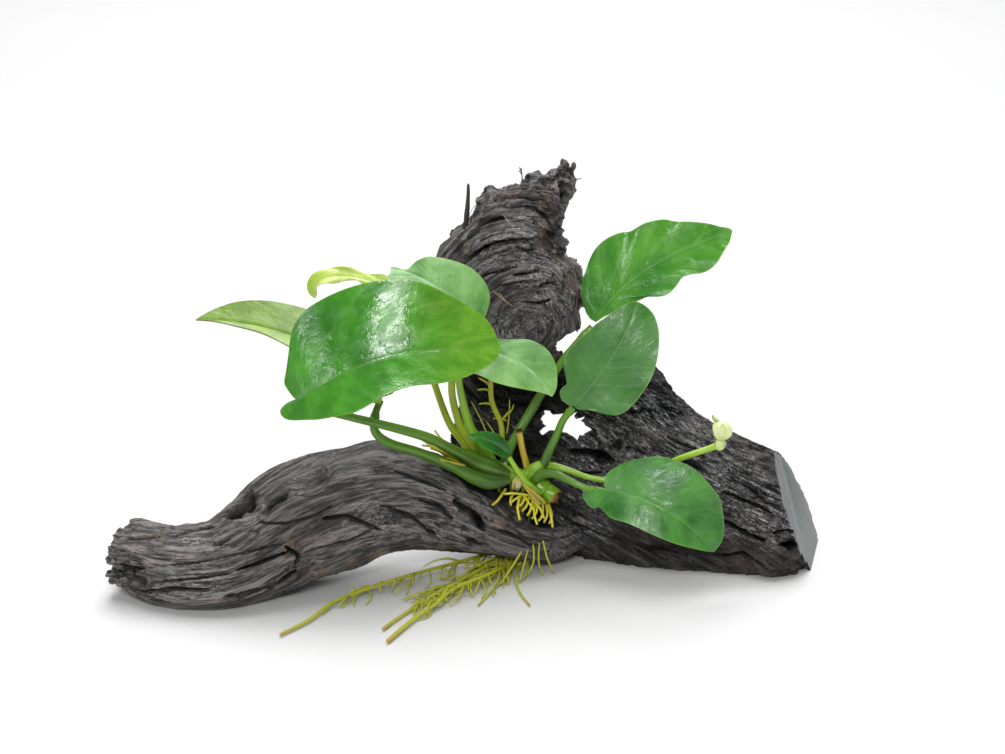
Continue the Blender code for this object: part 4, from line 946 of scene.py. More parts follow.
# Shreds of dried sheath on the stalks' feet: guide points, radius and how pale they are.
SHREDS = [
    ([(-12, -12.6, 47.2), (-6, -11.2, 43.6), (0.5, -8.6, 40.8)], 0.9, 0),
    ([(18.6, -5.2, 35.4), (22.6, -6.4, 31.4), (27.4, -6.2, 26.6)], 1.1, 0),
    ([(19.4, -4.6, 33.8), (22.4, -5.8, 29.8), (25.6, -5.8, 25.8)], 0.9, 0.1),
]

# Roots: guide points, and radius at the start and the tip. The first five reach
# the ground and carry side rootlets.
ROOTS = {
    "root_01": ([(12, 6.2, 32.4), (12, 9, 25), (12, 9, 14), (11.5, 7.5, 6), (8, 2, 4.8), (-4, -6, 4.5),
      (-20, -16, 4), (-33, -24, 3), (-42, -31, 2), (-49, -43, 1.2), (-57, -53, 1)], 0.9, 0.9),
    "root_02": ([(20, 4.8, 29.8), (20, 9, 24), (19.6, 9.9, 13), (19.3, 7.6, 5), (16, -1, 3.2), (8, -15, 4.5),
      (-3, -25, 4), (-9, -34, 2.5), (-15, -42, 1.5), (-23, -58, 1.1)], 0.9, 1.1),
    "root_03": ([(16, 5.6, 31), (16, 8.8, 24), (16, 9, 13), (15, 6.5, 5), (11, -2, 4), (0, -15, 3), (-8, -23, 2),
      (-14, -31, 1.2), (-20, -40, 1), (-25, -49, 0.9)], 0.8, 0.8),
    "root_04": ([(24, 3.8, 28.4), (23, 8, 21), (22, 9.7, 12), (22, 9.2, 4.5), (21, 1, 2.6), (17.5, -8, 2),
      (18.5, -20, 1), (22, -31, 0.7)], 0.6, 0.5),
    "root_05": ([(17.8, 2, 1.7), (15, -8, 1.3), (10.5, -18, 1.2), (5, -31, 0.7)], 0.6, 0.5),
    "root_06": ([(28, -2.9, 24.9), (29.3, -6.3, 21.8), (29.8, -7.6, 18.4)], 0.5, 0.38),
    "root_07": ([(24, -3.2, 27.2), (23.6, -7.2, 23.4), (24.6, -9.6, 20.2)], 0.5, 0.38),
    "root_08": ([(19, -3.1, 28.9), (18.1, -8, 25.6), (18.8, -10.4, 22.2)], 0.55, 0.4),
    "root_09": ([(14, -2.9, 30.3), (11.6, -8, 28.6), (9.6, -11.4, 28)], 0.5, 0.38),
    "root_10": ([(1.5, -1.7, 37.4), (-4, -2, 42.1), (-11, -2, 45)], 1, 0.7),
    "root_11": ([(-3.5, 4.2, 37.6), (-8, 5, 41.2), (-13, 5, 45)], 0.9, 0.6),
    "air_root": ([(13, 9, 40), (12.5, 9.5, 49), (9.5, 9.5, 57), (9, 9.5, 65)], 1, 0.9),
}
# Roots that carry side rootlets are this much thinner than their guide radii.
ROOT_SLIMMING = 0.68
# Side rootlets of the aerial root: foot and end.
AIR_ROOTLETS = [
    ((10, 9.5, 56), (5, 7.5, 57)),
    ((9.2, 9.5, 61), (4.5, 7.5, 62)),
    ((12.5, 9.5, 50), (16, 7, 55)),
    ((9.2, 9.5, 62.5), (5, 8, 66)),
]
# Side rootlets: spacing and longest reach in millimetres, and the fan of angles in which most of them leave.
ROOTLETS = {
    "root_01": (1.5, 15, (35, 100)),
    "root_02": (0.85, 17, (20, 100)),
    "root_03": (0.85, 17, (20, 105)),
    "root_04": (3, 7, (50, 130)),
    "root_05": (3, 7, (50, 130)),
}
# Short strands of the tuft under the stem and at the crown's left, and the strands that hang to the ground near
# root_05. They are listed by the root whose piece they join: start, middle, tip and radius.
TUFT = {
    "root_09": [
        ((24, -3.2, 28), (17, -7, 30.5), (13.5, -7.5, 30.4), 0.42),
        ((20, -4, 29), (17, -6, 27.8), (15.4, -6, 26.2), 0.42),
        ((17, -4, 29.5), (15.6, -6, 27.8), (15.9, -6.5, 25.8), 0.36),
    ],
    "root_08": [
        ((21, -4, 28.6), (19.5, -6.4, 26.5), (17.4, -6.8, 25.2), 0.45),
        ((22, -4, 28.4), (21, -6.6, 25.8), (19.4, -7, 24), 0.4),
        ((20, -4.4, 29), (22, -7, 26.8), (23.8, -7.4, 24.2), 0.42),
    ],
    "root_07": [
        ((23.5, -4, 27.6), (22.4, -6.8, 24.6), (21.2, -7, 22.4), 0.45),
        ((24.5, -4, 27), (24.4, -7.2, 24), (22.8, -7.4, 21.4), 0.38),
        ((22, -4, 28), (25.4, -6.8, 25.2), (27, -7.2, 21.4), 0.42),
    ],
    "root_06": [
        ((26.5, -3.6, 26.2), (26.4, -6.6, 22.8), (25, -7, 20.4), 0.45),
        ((27.5, -3.4, 25.6), (28, -6.2, 22.4), (26.8, -6.8, 19.8), 0.38),
        ((28.5, -3, 25), (29.6, -5.6, 22), (28.6, -6.4, 19.2), 0.36),
    ],
    "root_05": [
        ((26.6, -7.4, 13.6), (28.2, -9, 7.4), (30.8, -5.6, 0.6), 0.34),
        ((25.4, -7.8, 12.8), (25.2, -9.6, 6.5), (27, -7, 0.6), 0.3),
        ((23.2, -8.2, 13.6), (23.4, -10.2, 7), (21, -8, 0.5), 0.34),
        ((21.8, -8.4, 11.8), (20.2, -10.2, 6), (18.6, -12.6, 0.5), 0.3),
        ((20.4, -8.6, 12.2), (16.8, -11, 6.6), (12, -15, 0.5), 0.36),
    ],
    "root_10": [
        ((0, -1.8, 38.5), (-5, -4, 41.5), (-9, -5, 42.5), 0.5), ((0, -2, 38), (-3, -4, 42.4), (-8, -4.5, 44.6), 0.4),
        ((-1, -2, 39), (-8, -1, 44), (-14, -1, 45.4), 0.42), ((2, -2.4, 37), (-2, -5, 38.8), (-6, -6.4, 40.2), 0.6),
        ((3, -2.6, 36.4), (0, -5, 37.4), (-2, -6.6, 36.4), 0.35),
        ((5, -2.6, 36), (3, -5.6, 36.6), (2.2, -7.4, 34.6), 0.35),
    ],
    "root_11": [
        ((-3, 3.5, 38), (-9, 3, 42.4), (-14, 3, 45.8), 0.4), ((-3.5, 4, 38), (-10, 6, 42), (-16, 6, 46), 0.42),
        ((-2, 3.6, 39), (-7, 4, 45), (-10, 5, 48.6), 0.4),
    ],
}
# Hair-thin roots that rise behind the crown: start, middle and tip.
THIN_ROOTS = [
    ((10, 8.5, 40), (6.5, 9, 49), (2.4, 9, 57.6)),
    ((9, 8.5, 40), (6, 8.8, 44.6), (2.6, 9, 47.8)),
    ((12, 8.8, 42), (10, 9, 46.4), (7.6, 9, 50.2)),
    ((14.5, 9, 46), (15.2, 9.2, 52), (15.4, 9, 58.4)),
    ((15.2, 9.2, 52.6), (16.2, 9, 54.6), (16.8, 9, 56.4)),
    ((14.4, 9.2, 50.4), (12, 9, 51.4), (9.6, 9, 51.2)),
]


def smooth_path(points, radii, count):
    """Points and radii at even steps of the smooth curve through the guide points."""
    last = len(points) - 1
    if len(radii) != len(points):
        radii = [radii[0] + (radii[-1] - radii[0]) * i / last for i in range(last + 1)]
    rows = [(*p, r) for p, r in zip(points, radii)]
    made = [blend_rows(rows, i / (count - 1)) for i in range(count)]
    return [Vector(r[:3]) for r in made], [r[3] for r in made]


def grow(bm, points, radii, sides=12, rings=24, swell=None, colour=0.0, tip=0.3):
    """Adds a closed round stem to the bmesh: a cylinder drawn out along the smooth curve through its guide points."""
    path, widths = smooth_path(points, radii, rings + 1)
    one = stem_mesh()
    bmesh.ops.create_cone(one, cap_ends=True, segments=sides, radius1=1, radius2=1, depth=1)
    add_rings(one, rings - 1)
    ahead = (path[1] - path[0]).normalized()
    side = ahead.orthogonal().normalized()
    frames = []
    for i, centre in enumerate(path):
        new = (path[min(i + 1, rings)] - path[max(i - 1, 0)]).normalized()
        side.rotate(ahead.rotation_difference(new))
        ahead = new
        side = (side - ahead * side.dot(ahead)).normalized()
        frames.append((centre, side.copy(), ahead.cross(side), widths[i]))
    run, dye, flow = stem_fields(one)
    length = sum((b - a).length for a, b in zip(path, path[1:]))
    for vert in one.verts:
        t = vert.co.z + 0.5
        i = min(int(round(t * rings)), rings)
        centre, side, above, width = frames[i]
        angle = math.atan2(vert.co.y, vert.co.x)
        share = swell(t, angle) if swell else 1.0
        if tip and i == rings:
            beyond = max(0, (t - 1) * rings + tip)
            share *= 0.45 + 0.55 * math.sqrt(max(0.0, 1 - beyond**2 / tip**2))
        width *= share
        vert[run], vert[dye] = t, colour
        vert[flow] = Vector((width * math.cos(angle), width * math.sin(angle), 0.07 * t * length))
        vert.co = centre + side * (width * math.cos(angle)) + above * (width * math.sin(angle))
    add_part(bm, one)


def stem_mesh():
    """An empty bmesh with the fields that the stems' materials read."""
    bm = bmesh.new()
    bm.verts.layers.float.new("run")
    bm.verts.layers.float.new("dye")
    bm.verts.layers.float_vector.new("flow")
    return bm


def stem_fields(bm):
    """A stem's fields: the run from foot to tip, the dye, and the place along and around it."""
    numbers, vectors = bm.verts.layers.float, bm.verts.layers.float_vector
    return numbers["run"], numbers["dye"], vectors["flow"]


def add_part(bm, one):
    """Moves one part into the bmesh of its piece."""
    loose = bpy.data.meshes.new("part")
    one.to_mesh(loose)
    one.free()
    bm.from_mesh(loose)
    bpy.data.meshes.remove(loose)


def finish_stems(name, bm, slot, finish, *nodes):
    """Makes the piece from its stems, with its finish, and sets it in place of its solids."""
    bmesh.ops.recalc_face_normals(bm, faces=bm.faces)
    made = mesh_object(name, bm)
    made.data.materials.append(finish)
    made.data.shade_smooth()
    made.data.set_sharp_from_angle(angle=math.radians(70))
    return stand_in_for(place(made), slot, *nodes)


def even_outline(outline, count):
    """The smooth curve through an outline's points at even steps of its length."""
    fine = np.array([blend_rows(outline, i / 300) for i in range(301)])
    runs = np.concatenate(([0], np.cumsum(np.linalg.norm(np.diff(fine, axis=0), axis=1))))
    steps = np.linspace(0, runs[-1], count)
    return np.column_stack([np.interp(steps, runs, fine[:, k]) for k in (0, 1)])


class LeafSheet:
    """A leaf's curved surface, on which its flat outline is laid."""

    def __init__(self, leaf):
        self.leaf = leaf
        self.controls = [Vector(p) for p in leaf["rib"]]
        self.faces = [Vector(f).normalized() for f in leaf["faces"]]
        spots = [self.rib(i / 100) for i in range(101)]
        self.runs = np.concatenate(([0], np.cumsum([(b - a).length for a, b in zip(spots, spots[1:])])))

    def rib(self, t):
        """A point of the midrib at t from 0 to 1."""
        points = list(self.controls)
        while len(points) > 1:
            points = [a.lerp(b, t) for a, b in zip(points, points[1:])]
        return points[0]

    def at(self, across, along, lift=0.0):
        """The place of a point that lies across and along, in millimetres, when the leaf is laid flat."""
        kept = min(max(along, 0.0), self.runs[-1])
        t = float(np.interp(kept, self.runs, np.linspace(0, 1, 101)))
        ahead = (self.rib(min(t + 0.01, 1)) - self.rib(max(t - 0.01, 0))).normalized()
        face = self.faces[0].lerp(self.faces[1], t)
        face = (face - ahead * face.dot(ahead)).normalized()
        rise = self.leaf["rise"][0 if across < 0 else 1] * abs(across)
        return self.rib(t) + ahead * (along - kept) + ahead.cross(face) * across + face * (rise + lift)


def leaf_blade(name, leaf, thickness, finishes):
    """A leaf blade: a grid drawn out from the midrib to the outline along the side veins, then given a thickness."""
    bm = bmesh.new()
    across, along = LEAF_GRID if "young" not in name else YOUNG_GRID
    bmesh.ops.create_grid(bm, x_segments=across, y_segments=along, size=1)
    vein, from_rib, from_rim, run = (bm.verts.layers.float.new(key) for key in LEAF_FIELDS)
    flat = bm.verts.layers.float_vector.new("flat")
    sheet = LeafSheet(leaf)
    outlines = {-1: even_outline(leaf["left"], along + 1), 1: even_outline(leaf["right"], along + 1)}
    tip_across, tip_along = leaf["left"][-1]
    height, waves = leaf["wave"]
    for vert in bm.verts:
        row = int(round((vert.co.y + 1) / 2 * along))
        s, c = row / along, abs(vert.co.x)
        side = -1 if vert.co.x < 0 else 1
        rim_across, rim_along = outlines[side][row]
        m = max(0.0, (s - FAN_SHARE) / (1 - FAN_SHARE)) ** VEIN_LEAN
        rib_across, rib_along = tip_across * m * m, tip_along * m
        reach = math.hypot(rim_across - rib_across, rim_along - rib_along)
        x = rib_across + (rim_across - rib_across) * c
        y = rib_along + (rim_along - rib_along) * c - 0.04 * reach * math.sin(math.pi * c)
        # The edge's waves, the groove over the midrib, and the skin that swells between the side veins.
        phase = math.tau * waves * s + (0.5 if side > 0 else 2.1)
        ripple = height * c * c * math.sin(phase) * math.sin(math.pi * s) ** 0.5
        groove = -0.22 * math.exp(-((c * reach / 0.8) ** 2)) * min(1, 6 * (1 - s))
        quilt = 0.07 * math.cos(math.tau * VEIN_COUNT * s) * min(1, c * reach / 3) * (1 - c)
        vert.co = sheet.at(x, y, ripple + groove - quilt)
        vert[vein], vert[run] = VEIN_COUNT * s, y / tip_along
        vert[from_rib], vert[from_rim] = c * reach, (1 - c) * reach
        vert[flat] = Vector((c * reach * side, VEIN_COUNT * s * 3, 0))
    bmesh.ops.remove_doubles(bm, verts=bm.verts, dist=0.01)
    bmesh.ops.recalc_face_normals(bm, faces=bm.faces)
    bm.normal_update()
    if sum((f.normal * f.calc_area() for f in bm.faces), Vector()).dot(Vector(leaf["faces"][0])) < 0:
        bmesh.ops.reverse_faces(bm, faces=bm.faces)
    made = mesh_object(f"glossy_{name}", bm)
    for finish in finishes:
        made.data.materials.append(finish)
    shell = made.modifiers.new("Thickness", "SOLIDIFY")
    shell.thickness, shell.offset, shell.material_offset = thickness, 0, 1
    applied(made)
    made.data.shade_smooth()
    made.data.set_sharp_from_angle(angle=math.radians(80))
    return made


def leaf_finish(name, deep, bright, vein_colour, rim_colour, tip_share=0.0, tip_colour="#a8c020", gloss=0.2):
    """A living leaf: a wet waxy skin that mirrors the lights, over tissue with soft blotches and faint pale veins."""
    finish, tree, shader = new_finish(name)
    vein, rib, rim, run = (
        add_node(tree, "ShaderNodeAttribute", out="Fac", attribute_name=key) for key in LEAF_FIELDS
    )
    flat = add_node(tree, "ShaderNodeAttribute", out="Vector", attribute_name="flat")
    where = add_node(tree, "ShaderNodeTexCoord", out="Object")
    # Blotches of about 10 mm, skin cells drawn at about 0.8 mm, coarser than real ones so that they show,
    # and the ripples of a water film, 3 to 6 mm long and 1 mm wide, along the side veins.
    blotch = add_node(tree, "ShaderNodeTexNoise", {"Vector": where, "Scale": 95.0, "Detail": 3.0, "Roughness": 0.55})
    cells = add_node(tree, "ShaderNodeTexNoise", {"Vector": where, "Scale": 1100.0, "Detail": 2.0})
    spot = add_node(tree, "ShaderNodeMapping", {"Vector": flat, "Scale": (0.22, 0.75, 1.0)})
    streak = add_node(tree, "ShaderNodeTexNoise", {"Vector": spot, "Scale": 1.0, "Detail": 4.0, "Roughness": 0.62})
    ripple = add_node(tree, "ShaderNodeTexNoise", {"Vector": where, "Scale": 210.0, "Detail": 3.0, "Roughness": 0.6})
    share = add_node(tree, "ShaderNodeMapRange", {"Value": blotch, "From Min": 0.32, "From Max": 0.68})
    wave = add_node(tree, "ShaderNodeMath", {0: vein, 1: math.tau}, operation="MULTIPLY")
    line = add_node(tree, "ShaderNodeMath", {0: wave}, operation="COSINE")
    side_vein = add_node(tree, "ShaderNodeMapRange", {"Value": line, "From Min": 0.90, "To Max": 0.12})
    rib_range = {"Value": rib, "From Min": 0.1, "From Max": 0.6, "To Min": 0.32, "To Max": 0.0}
    near_rib = add_node(tree, "ShaderNodeMapRange", rib_range)
    veins = add_node(tree, "ShaderNodeMath", {0: side_vein, 1: near_rib}, operation="MAXIMUM")
    tip_place = add_node(tree, "ShaderNodeMapRange", {"Value": run, "From Min": 0.5, "To Max": tip_share})
    patch_range = {"Value": streak, "From Min": 0.35, "From Max": 0.65, "To Min": 0.45, "To Max": 1.25}
    uneven = add_node(tree, "ShaderNodeMapRange", patch_range)
    tip_patches = add_node(tree, "ShaderNodeMath", {0: tip_place, 1: uneven}, operation="MULTIPLY")
    near_rim = add_node(tree, "ShaderNodeMapRange", {"Value": rim, "From Max": 0.4, "To Min": 0.6, "To Max": 0.0})
    colour = linear(deep)
    for part, shade in ((share, bright), (veins, vein_colour), (tip_patches, tip_colour), (near_rim, rim_colour)):
        colour = add_node(tree, "ShaderNodeMix", {0: part, 6: colour, 7: linear(shade)}, out=2, data_type="RGBA")
    tree.links.new(colour, shader.inputs["Base Color"])
    wet_range = {"Value": streak, "From Min": 0.4, "From Max": 0.6, "To Min": gloss - 0.08, "To Max": gloss + 0.16}
    tree.links.new(add_node(tree, "ShaderNodeMapRange", wet_range), shader.inputs["Roughness"])
    below = {}
    for height, strength, depth in ((streak, 0.5, 0.5), (ripple, 0.35, 0.7), (cells, 0.2, 0.12)):
        sockets = {"Height": height, "Strength": strength, "Distance": depth * MM, **below}
        below = {"Normal": add_node(tree, "ShaderNodeBump", sockets)}
    tree.links.new(below["Normal"], shader.inputs["Normal"])
    shader.inputs["IOR"].default_value = 1.5
    shader.inputs["Specular IOR Level"].default_value = 0.7
    shader.inputs["Subsurface Weight"].default_value = 0.12
    shader.inputs["Subsurface Radius"].default_value = (0.4, 1.0, 0.2)
    shader.inputs["Subsurface Scale"].default_value = 0.6 * MM
    return finish


def stem_finish(name, foot, top, dye_colour, gloss=0.3, tip_from=0.8):
    """A fleshy stem, coloured from foot to top, with a dye for parts that differ, fine long lines and a moist skin."""
    finish, tree, shader = new_finish(name)
    run, dye = (add_node(tree, "ShaderNodeAttribute", out="Fac", attribute_name=key) for key in ("run", "dye"))
    where = add_node(tree, "ShaderNodeTexCoord", out="Object")
    speckle = add_node(tree, "ShaderNodeTexNoise", {"Vector": where, "Scale": 700.0, "Detail": 3.0, "Roughness": 0.6})
    patch = add_node(tree, "ShaderNodeTexNoise", {"Vector": where, "Scale": 150.0, "Detail": 2.0})
    flow = add_node(tree, "ShaderNodeAttribute", out="Vector", attribute_name="flow")
    # Long lines about 0.5 mm apart.
    lines = add_node(tree, "ShaderNodeTexNoise", {"Vector": flow, "Scale": 1.7, "Detail": 2.0, "Roughness": 0.6})
    lined = add_node(tree, "ShaderNodeMix", {0: 0.6, 2: patch, 3: lines}, data_type="FLOAT")
    mixed = add_node(tree, "ShaderNodeMath", {0: run, 1: lined}, operation="ADD")
    share = add_node(tree, "ShaderNodeMapRange", {"Value": mixed, "From Min": 0.4, "From Max": 0.4 + tip_from})
    spots = add_node(
        tree, "ShaderNodeMapRange", {"Value": speckle, "From Min": 0.58, "From Max": 0.72, "To Max": 0.4}
    )
    colour = linear(foot)
    for part, shade in ((share, top), (dye, dye_colour), (spots, foot)):
        colour = add_node(tree, "ShaderNodeMix", {0: part, 6: colour, 7: linear(shade)}, out=2, data_type="RGBA")
    tree.links.new(colour, shader.inputs["Base Color"])
    below = {}
    for height, strength, depth in ((lines, 0.4, 0.4), (speckle, 0.3, 0.2)):
        sockets = {"Height": height, "Strength": strength, "Distance": depth * MM, **below}
        below = {"Normal": add_node(tree, "ShaderNodeBump", sockets)}
    tree.links.new(below["Normal"], shader.inputs["Normal"])
    shader.inputs["Roughness"].default_value = gloss
    shader.inputs["Subsurface Weight"].default_value = 0.15
    shader.inputs["Subsurface Radius"].default_value = (0.6, 1.0, 0.2)
    shader.inputs["Subsurface Scale"].default_value = 0.8 * MM
    return finish


class ANUBIAS_OT_leaves(bpy.types.Operator):
    """Builds the nine leaf blades"""

    bl_idname = "anubias.leaves"
    bl_label = "Leaf blades"

    def execute(self, context):
        look = context.scene.plant_look
        large = leaf_finish(
            "large leaf, waxy, yellowing at the tip", "#266c12", "#4b9a22", "#6da548", "#86b038", 0.85, "#7cb224"
        )
        shaded = leaf_finish("dull dark leaf", "#2a6418", "#3f8024", "#6b9a5c", "#86a95a", gloss=0.38)
        # leaf_08 and leaf_07 take paler colours: partly their own, partly painted light that shines through them from
        # behind.
        old = leaf_finish("thin old leaf, olive", "#5c821c", "#83a630", "#a8be68", "#6b4a2c", gloss=0.3)
        pale = leaf_finish("young leaf, pale", "#9cbd3a", "#c6d870", "#dbe6a0", "#d9e0a0", gloss=0.28)
        below = leaf_finish("underside of a leaf, matt", "#5d8a46", "#799c5c", "#8fae72", "#9cb860", gloss=0.45)
        # leaf_05 and leaf_06 take paler colours: partly their own, partly a painted sheen of the overhead light.
        light = leaf_finish("paler leaf, waxy", "#4e8c38", "#86b868", "#a4c88a", "#98bc58", gloss=0.34)
        deep = leaf_finish("small young leaf, deep green", "#185a12", "#2f7f1e", "#4f9a3a", "#5da03c", gloss=0.12)
        fresh = leaf_finish("upper leaf, fresh green", "#347e1a", "#5aa42c", "#7db85a", "#86b84a", gloss=0.18)
        low = leaf_finish("low leaf, half dry", "#23651a", "#4f9436", "#6da548", "#7fae44", gloss=0.34)
        finishes = dict(zip(LEAVES, (large, fresh, shaded, low, light, light, pale, old, deep)))
        slots = {"leaf_07": "young_leaf", "leaf_08": "old_leaf"}
        for name, leaf in LEAVES.items():
            sides = (finishes[name], finishes[name] if name in slots else below)
            blade = leaf_blade(name, leaf, look.thickness, sides)
            stand_in_for(place(blade), slots.get(name, "leaf_green"), name + "_blade")
        return {"FINISHED"}


def stalk_swell(name):
    """The form of a stalk: a thicker joint under a grown leaf's blade, and faint ridges that fade upwards."""
    knot = 0.84 if name == "leaf_08" else 0.93
    high = 0.25 if "leaf_0" in name else 0.0

    def swell(t, angle):
        joint = high * math.exp(-(((t - knot) / 0.025) ** 2))
        return 1 + joint + 0.05 * math.cos(4 * angle + 5 * t) * (1 - t)

    return swell


class ANUBIAS_OT_stalks(bpy.types.Operator):
    """Builds the leaf stalks, with a thicker joint under each blade"""

    bl_idname = "anubias.stalks"
    bl_label = "Leaf stalks"

    def execute(self, context):
        green = stem_finish("leaf stalk, green", "#4f7f20", "#63942a", "#3d5a1c", gloss=0.22)
        bright = stem_finish("leaf stalk, young and bright", "#6fa01e", "#98c034", "#4f7a22", gloss=0.22)
        yellow = stem_finish("leaf stalk, pale and yellow", "#8dab22", "#bfcc3c", "#5f7f22", gloss=0.22)
        kinds = {"leaf_05": bright, "leaf_06": yellow, "leaf_07": yellow, "furled_leaf": bright, "young_leaf": bright}
        for name, (points, radii, olive) in STALKS.items():
            bm = stem_mesh()
            grow(bm, points, radii, sides=22, rings=90, swell=stalk_swell(name), tip=0)
            run, dye, flow = stem_fields(bm)
            for vert in bm.verts:
                stain = 0.5 + 1.1 * noise.noise(Vector(vert[flow]) * 1.1)
                vert[dye] = max(0.0, min(1.0, olive * (1.15 - vert[run]) * (0.5 + stain)))
            finish_stems(f"{name}_petiole", bm, "stalk_green", kinds.get(name, green), f"{name}_stalk")
        return {"FINISHED"}


def shred_swell(seed):
    """The form of a shred: flat and twisted, with a frayed edge that differs with the seed."""

    def frayed(t, angle):
        thin = 0.45 + 0.55 * abs(math.cos(angle + 2 * t))
        return thin * (1 + 0.35 * waver(6 * t, math.cos(angle) * 1.5, seed))

    return frayed


class ANUBIAS_OT_rhizome(bpy.types.Operator):
    """Builds the creeping stem with its ring scars, sheathed feet, papery scales and cut end"""

    bl_idname = "anubias.rhizome"
    bl_label = "Creeping stem"

    def execute(self, context):
        def scars(t, angle):
            ring = (t * 7.5) % 1
            scar = 0.08 * math.exp(-(((ring - 0.5) / 0.10) ** 2))
            return 1 - scar + 0.05 * waver(math.cos(angle) * 1.5, math.sin(angle) * 1.5, 9 * t)

        bm = stem_mesh()
        grow(bm, RHIZOME, RHIZOME_RADII, sides=48, rings=110, swell=scars, tip=0)
        run, dye, _ = stem_fields(bm)
        for vert in bm.verts:
            vert[dye] = 1.0 if vert[run] > 0.995 else 0.0
        path, widths = smooth_path(RHIZOME, RHIZOME_RADII, 101)
        end, back = path[100], path[96]
        chance = random.Random(8)
        # Short torn threads on the cut face.
        for i in range(26):
            way = (end - back).normalized()
            side = Vector((chance.uniform(-1, 1), chance.uniform(-1, 1), chance.uniform(-1, 1)))
            side = (side - way * side.dot(way)).normalized() * widths[100] * chance.uniform(0.1, 0.9)
            long = chance.uniform(0.3, 1.1) if i else 1.6
            threads = [end + side - way * 0.3, end + side * 1.02 + way * long * 0.5, end + side * 1.08 + way * long]
            grow(bm, threads, [0.16, 0.13, 0.08], sides=5, rings=4, colour=0.85)
        finish = stem_finish("creeping stem, cut at its end", "#4a7812", "#6f9e1a", "#b5702a", gloss=0.16, tip_from=0.5)
        finish_stems("ringed_rhizome", bm, "rhizome_green", finish, "rhizome")
        husk = stem_finish("papery sheath, pale tan", "#b4b450", "#c9b95c", "#e6dcb4", gloss=0.4)
        scales = stem_mesh()
        for share, width, start, stop, pale in SCALES:
            self.scale(scales, share, width, start, stop, pale)
        shreds = stem_mesh()
        for points, radius, pale in SHREDS:
            frayed = shred_swell(points[0][0])
            grow(shreds, points, [0.5 * radius, radius, 0.7 * radius], sides=20, rings=36, swell=frayed, colour=pale)
        old = stem_finish("dried sheath, yellow to tan", "#bfa038", "#a49a3c", "#e6dcb4", gloss=0.35)
        finish_stems("sheath_shreds", shreds, "dry_stalk", old)
        made = finish_stems("papery_sheaths", scales, "dry_stalk", husk)
        wall = made.modifiers.new("Thickness", "SOLIDIFY")
        wall.thickness = 0.12 * MM
        applied(made)
        return {"FINISHED"}

    def scale(self, bm, share, width, start, stop, pale):
        """One papery scale: a grid wrapped part of the way round the stem, with a ragged, lifted edge."""
        path, widths = smooth_path(RHIZOME, RHIZOME_RADII, 101)
        i = int(share * 100)
        centre, radius = path[i], widths[i]
        ahead = (path[i + 1] - path[i - 1]).normalized()
        side = ahead.cross(Vector((0, 0, 1))).normalized()
        up = side.cross(ahead)
        one = stem_mesh()
        bmesh.ops.create_grid(one, x_segments=14, y_segments=30, size=0.5)
        run, dye, _ = stem_fields(one)
        for vert in one.verts:
            u, v = vert.co.x + 0.5, vert.co.y + 0.5
            angle = math.radians(start + (stop - start) * v)
            torn = 1 + 0.35 * waver(7 * v, share * 40, 0.5)
            lift = radius * 1.05 + 0.25 + 0.9 * u * u + 0.25 * waver(4 * u, 9 * v, share * 30)
            taper = math.sin(math.pi * min(max(v, 0.04), 0.96)) ** 0.5
            along = (u * torn * taper - 0.4) * width * -1
            vert.co = centre + ahead * along + side * (lift * math.cos(angle)) + up * (lift * math.sin(angle))
            vert[run], vert[dye] = u, pale
        add_part(bm, one)


class ANUBIAS_OT_furled_leaf(bpy.types.Operator):
    """Builds the rolled young leaf at the end of its stalk"""

    bl_idname = "anubias.furled_leaf"
    bl_label = "Furled leaf"

    def execute(self, context):
        def rolled(t, angle):
            fold = 0.16 * abs(math.sin(1.5 * angle + 4 * t))
            return 1 - fold + 0.08 * waver(math.cos(angle) * 2, math.sin(angle) * 2, 5 * t)

        bm = stem_mesh()
        for points, radii, green in FURLED_PARTS:
            grow(bm, points, radii, sides=36, rings=44, swell=rolled, colour=green)
        finish = stem_finish("furled leaf, pale green", "#b9cf4e", "#dfe8ae", "#86b42a", gloss=0.22, tip_from=0.5)
        finish_stems("rolled_young_leaf", bm, "young_leaf", finish, "furled_leaf")
        return {"FINISHED"}


class ANUBIAS_OT_stub(bpy.types.Operator):
    """Builds the dying stub of a cut leaf stalk"""

    bl_idname = "anubias.stub"
    bl_label = "Cut stub"

    def execute(self, context):
        def shrunk(t, angle):
            furrow = 0.10 * abs(math.sin(3 * angle + 2 * t))
            worn = 0.06 * waver(math.cos(angle) * 2, math.sin(angle) * 2, t * 9)
            return 1 - furrow + worn

        bm = stem_mesh()
        grow(bm, CUT_STALK, CUT_STALK_RADII, sides=30, rings=70, swell=shrunk, tip=0)
        run, dye, _ = stem_fields(bm)
        for vert in bm.verts:
            angle = math.atan2(vert.co.y - 1.2, vert.co.x - 20.0)
            stripe = 0.5 * max(0.0, waver(6 * math.cos(angle), 6 * math.sin(angle), 0.08 * vert.co.z))
            vert[dye] = float(np.clip(soft_step(0.93, 0.985, np.array([vert[run]]))[0] + stripe, 0, 1))
        finish = stem_finish("dying stalk, ochre with a brown end", "#9c8a1e", "#c9b040", "#3a2412", gloss=0.4)
        finish_stems("ochre_stub", bm, "dry_stalk", finish, "cut_stalk")
        return {"FINISHED"}


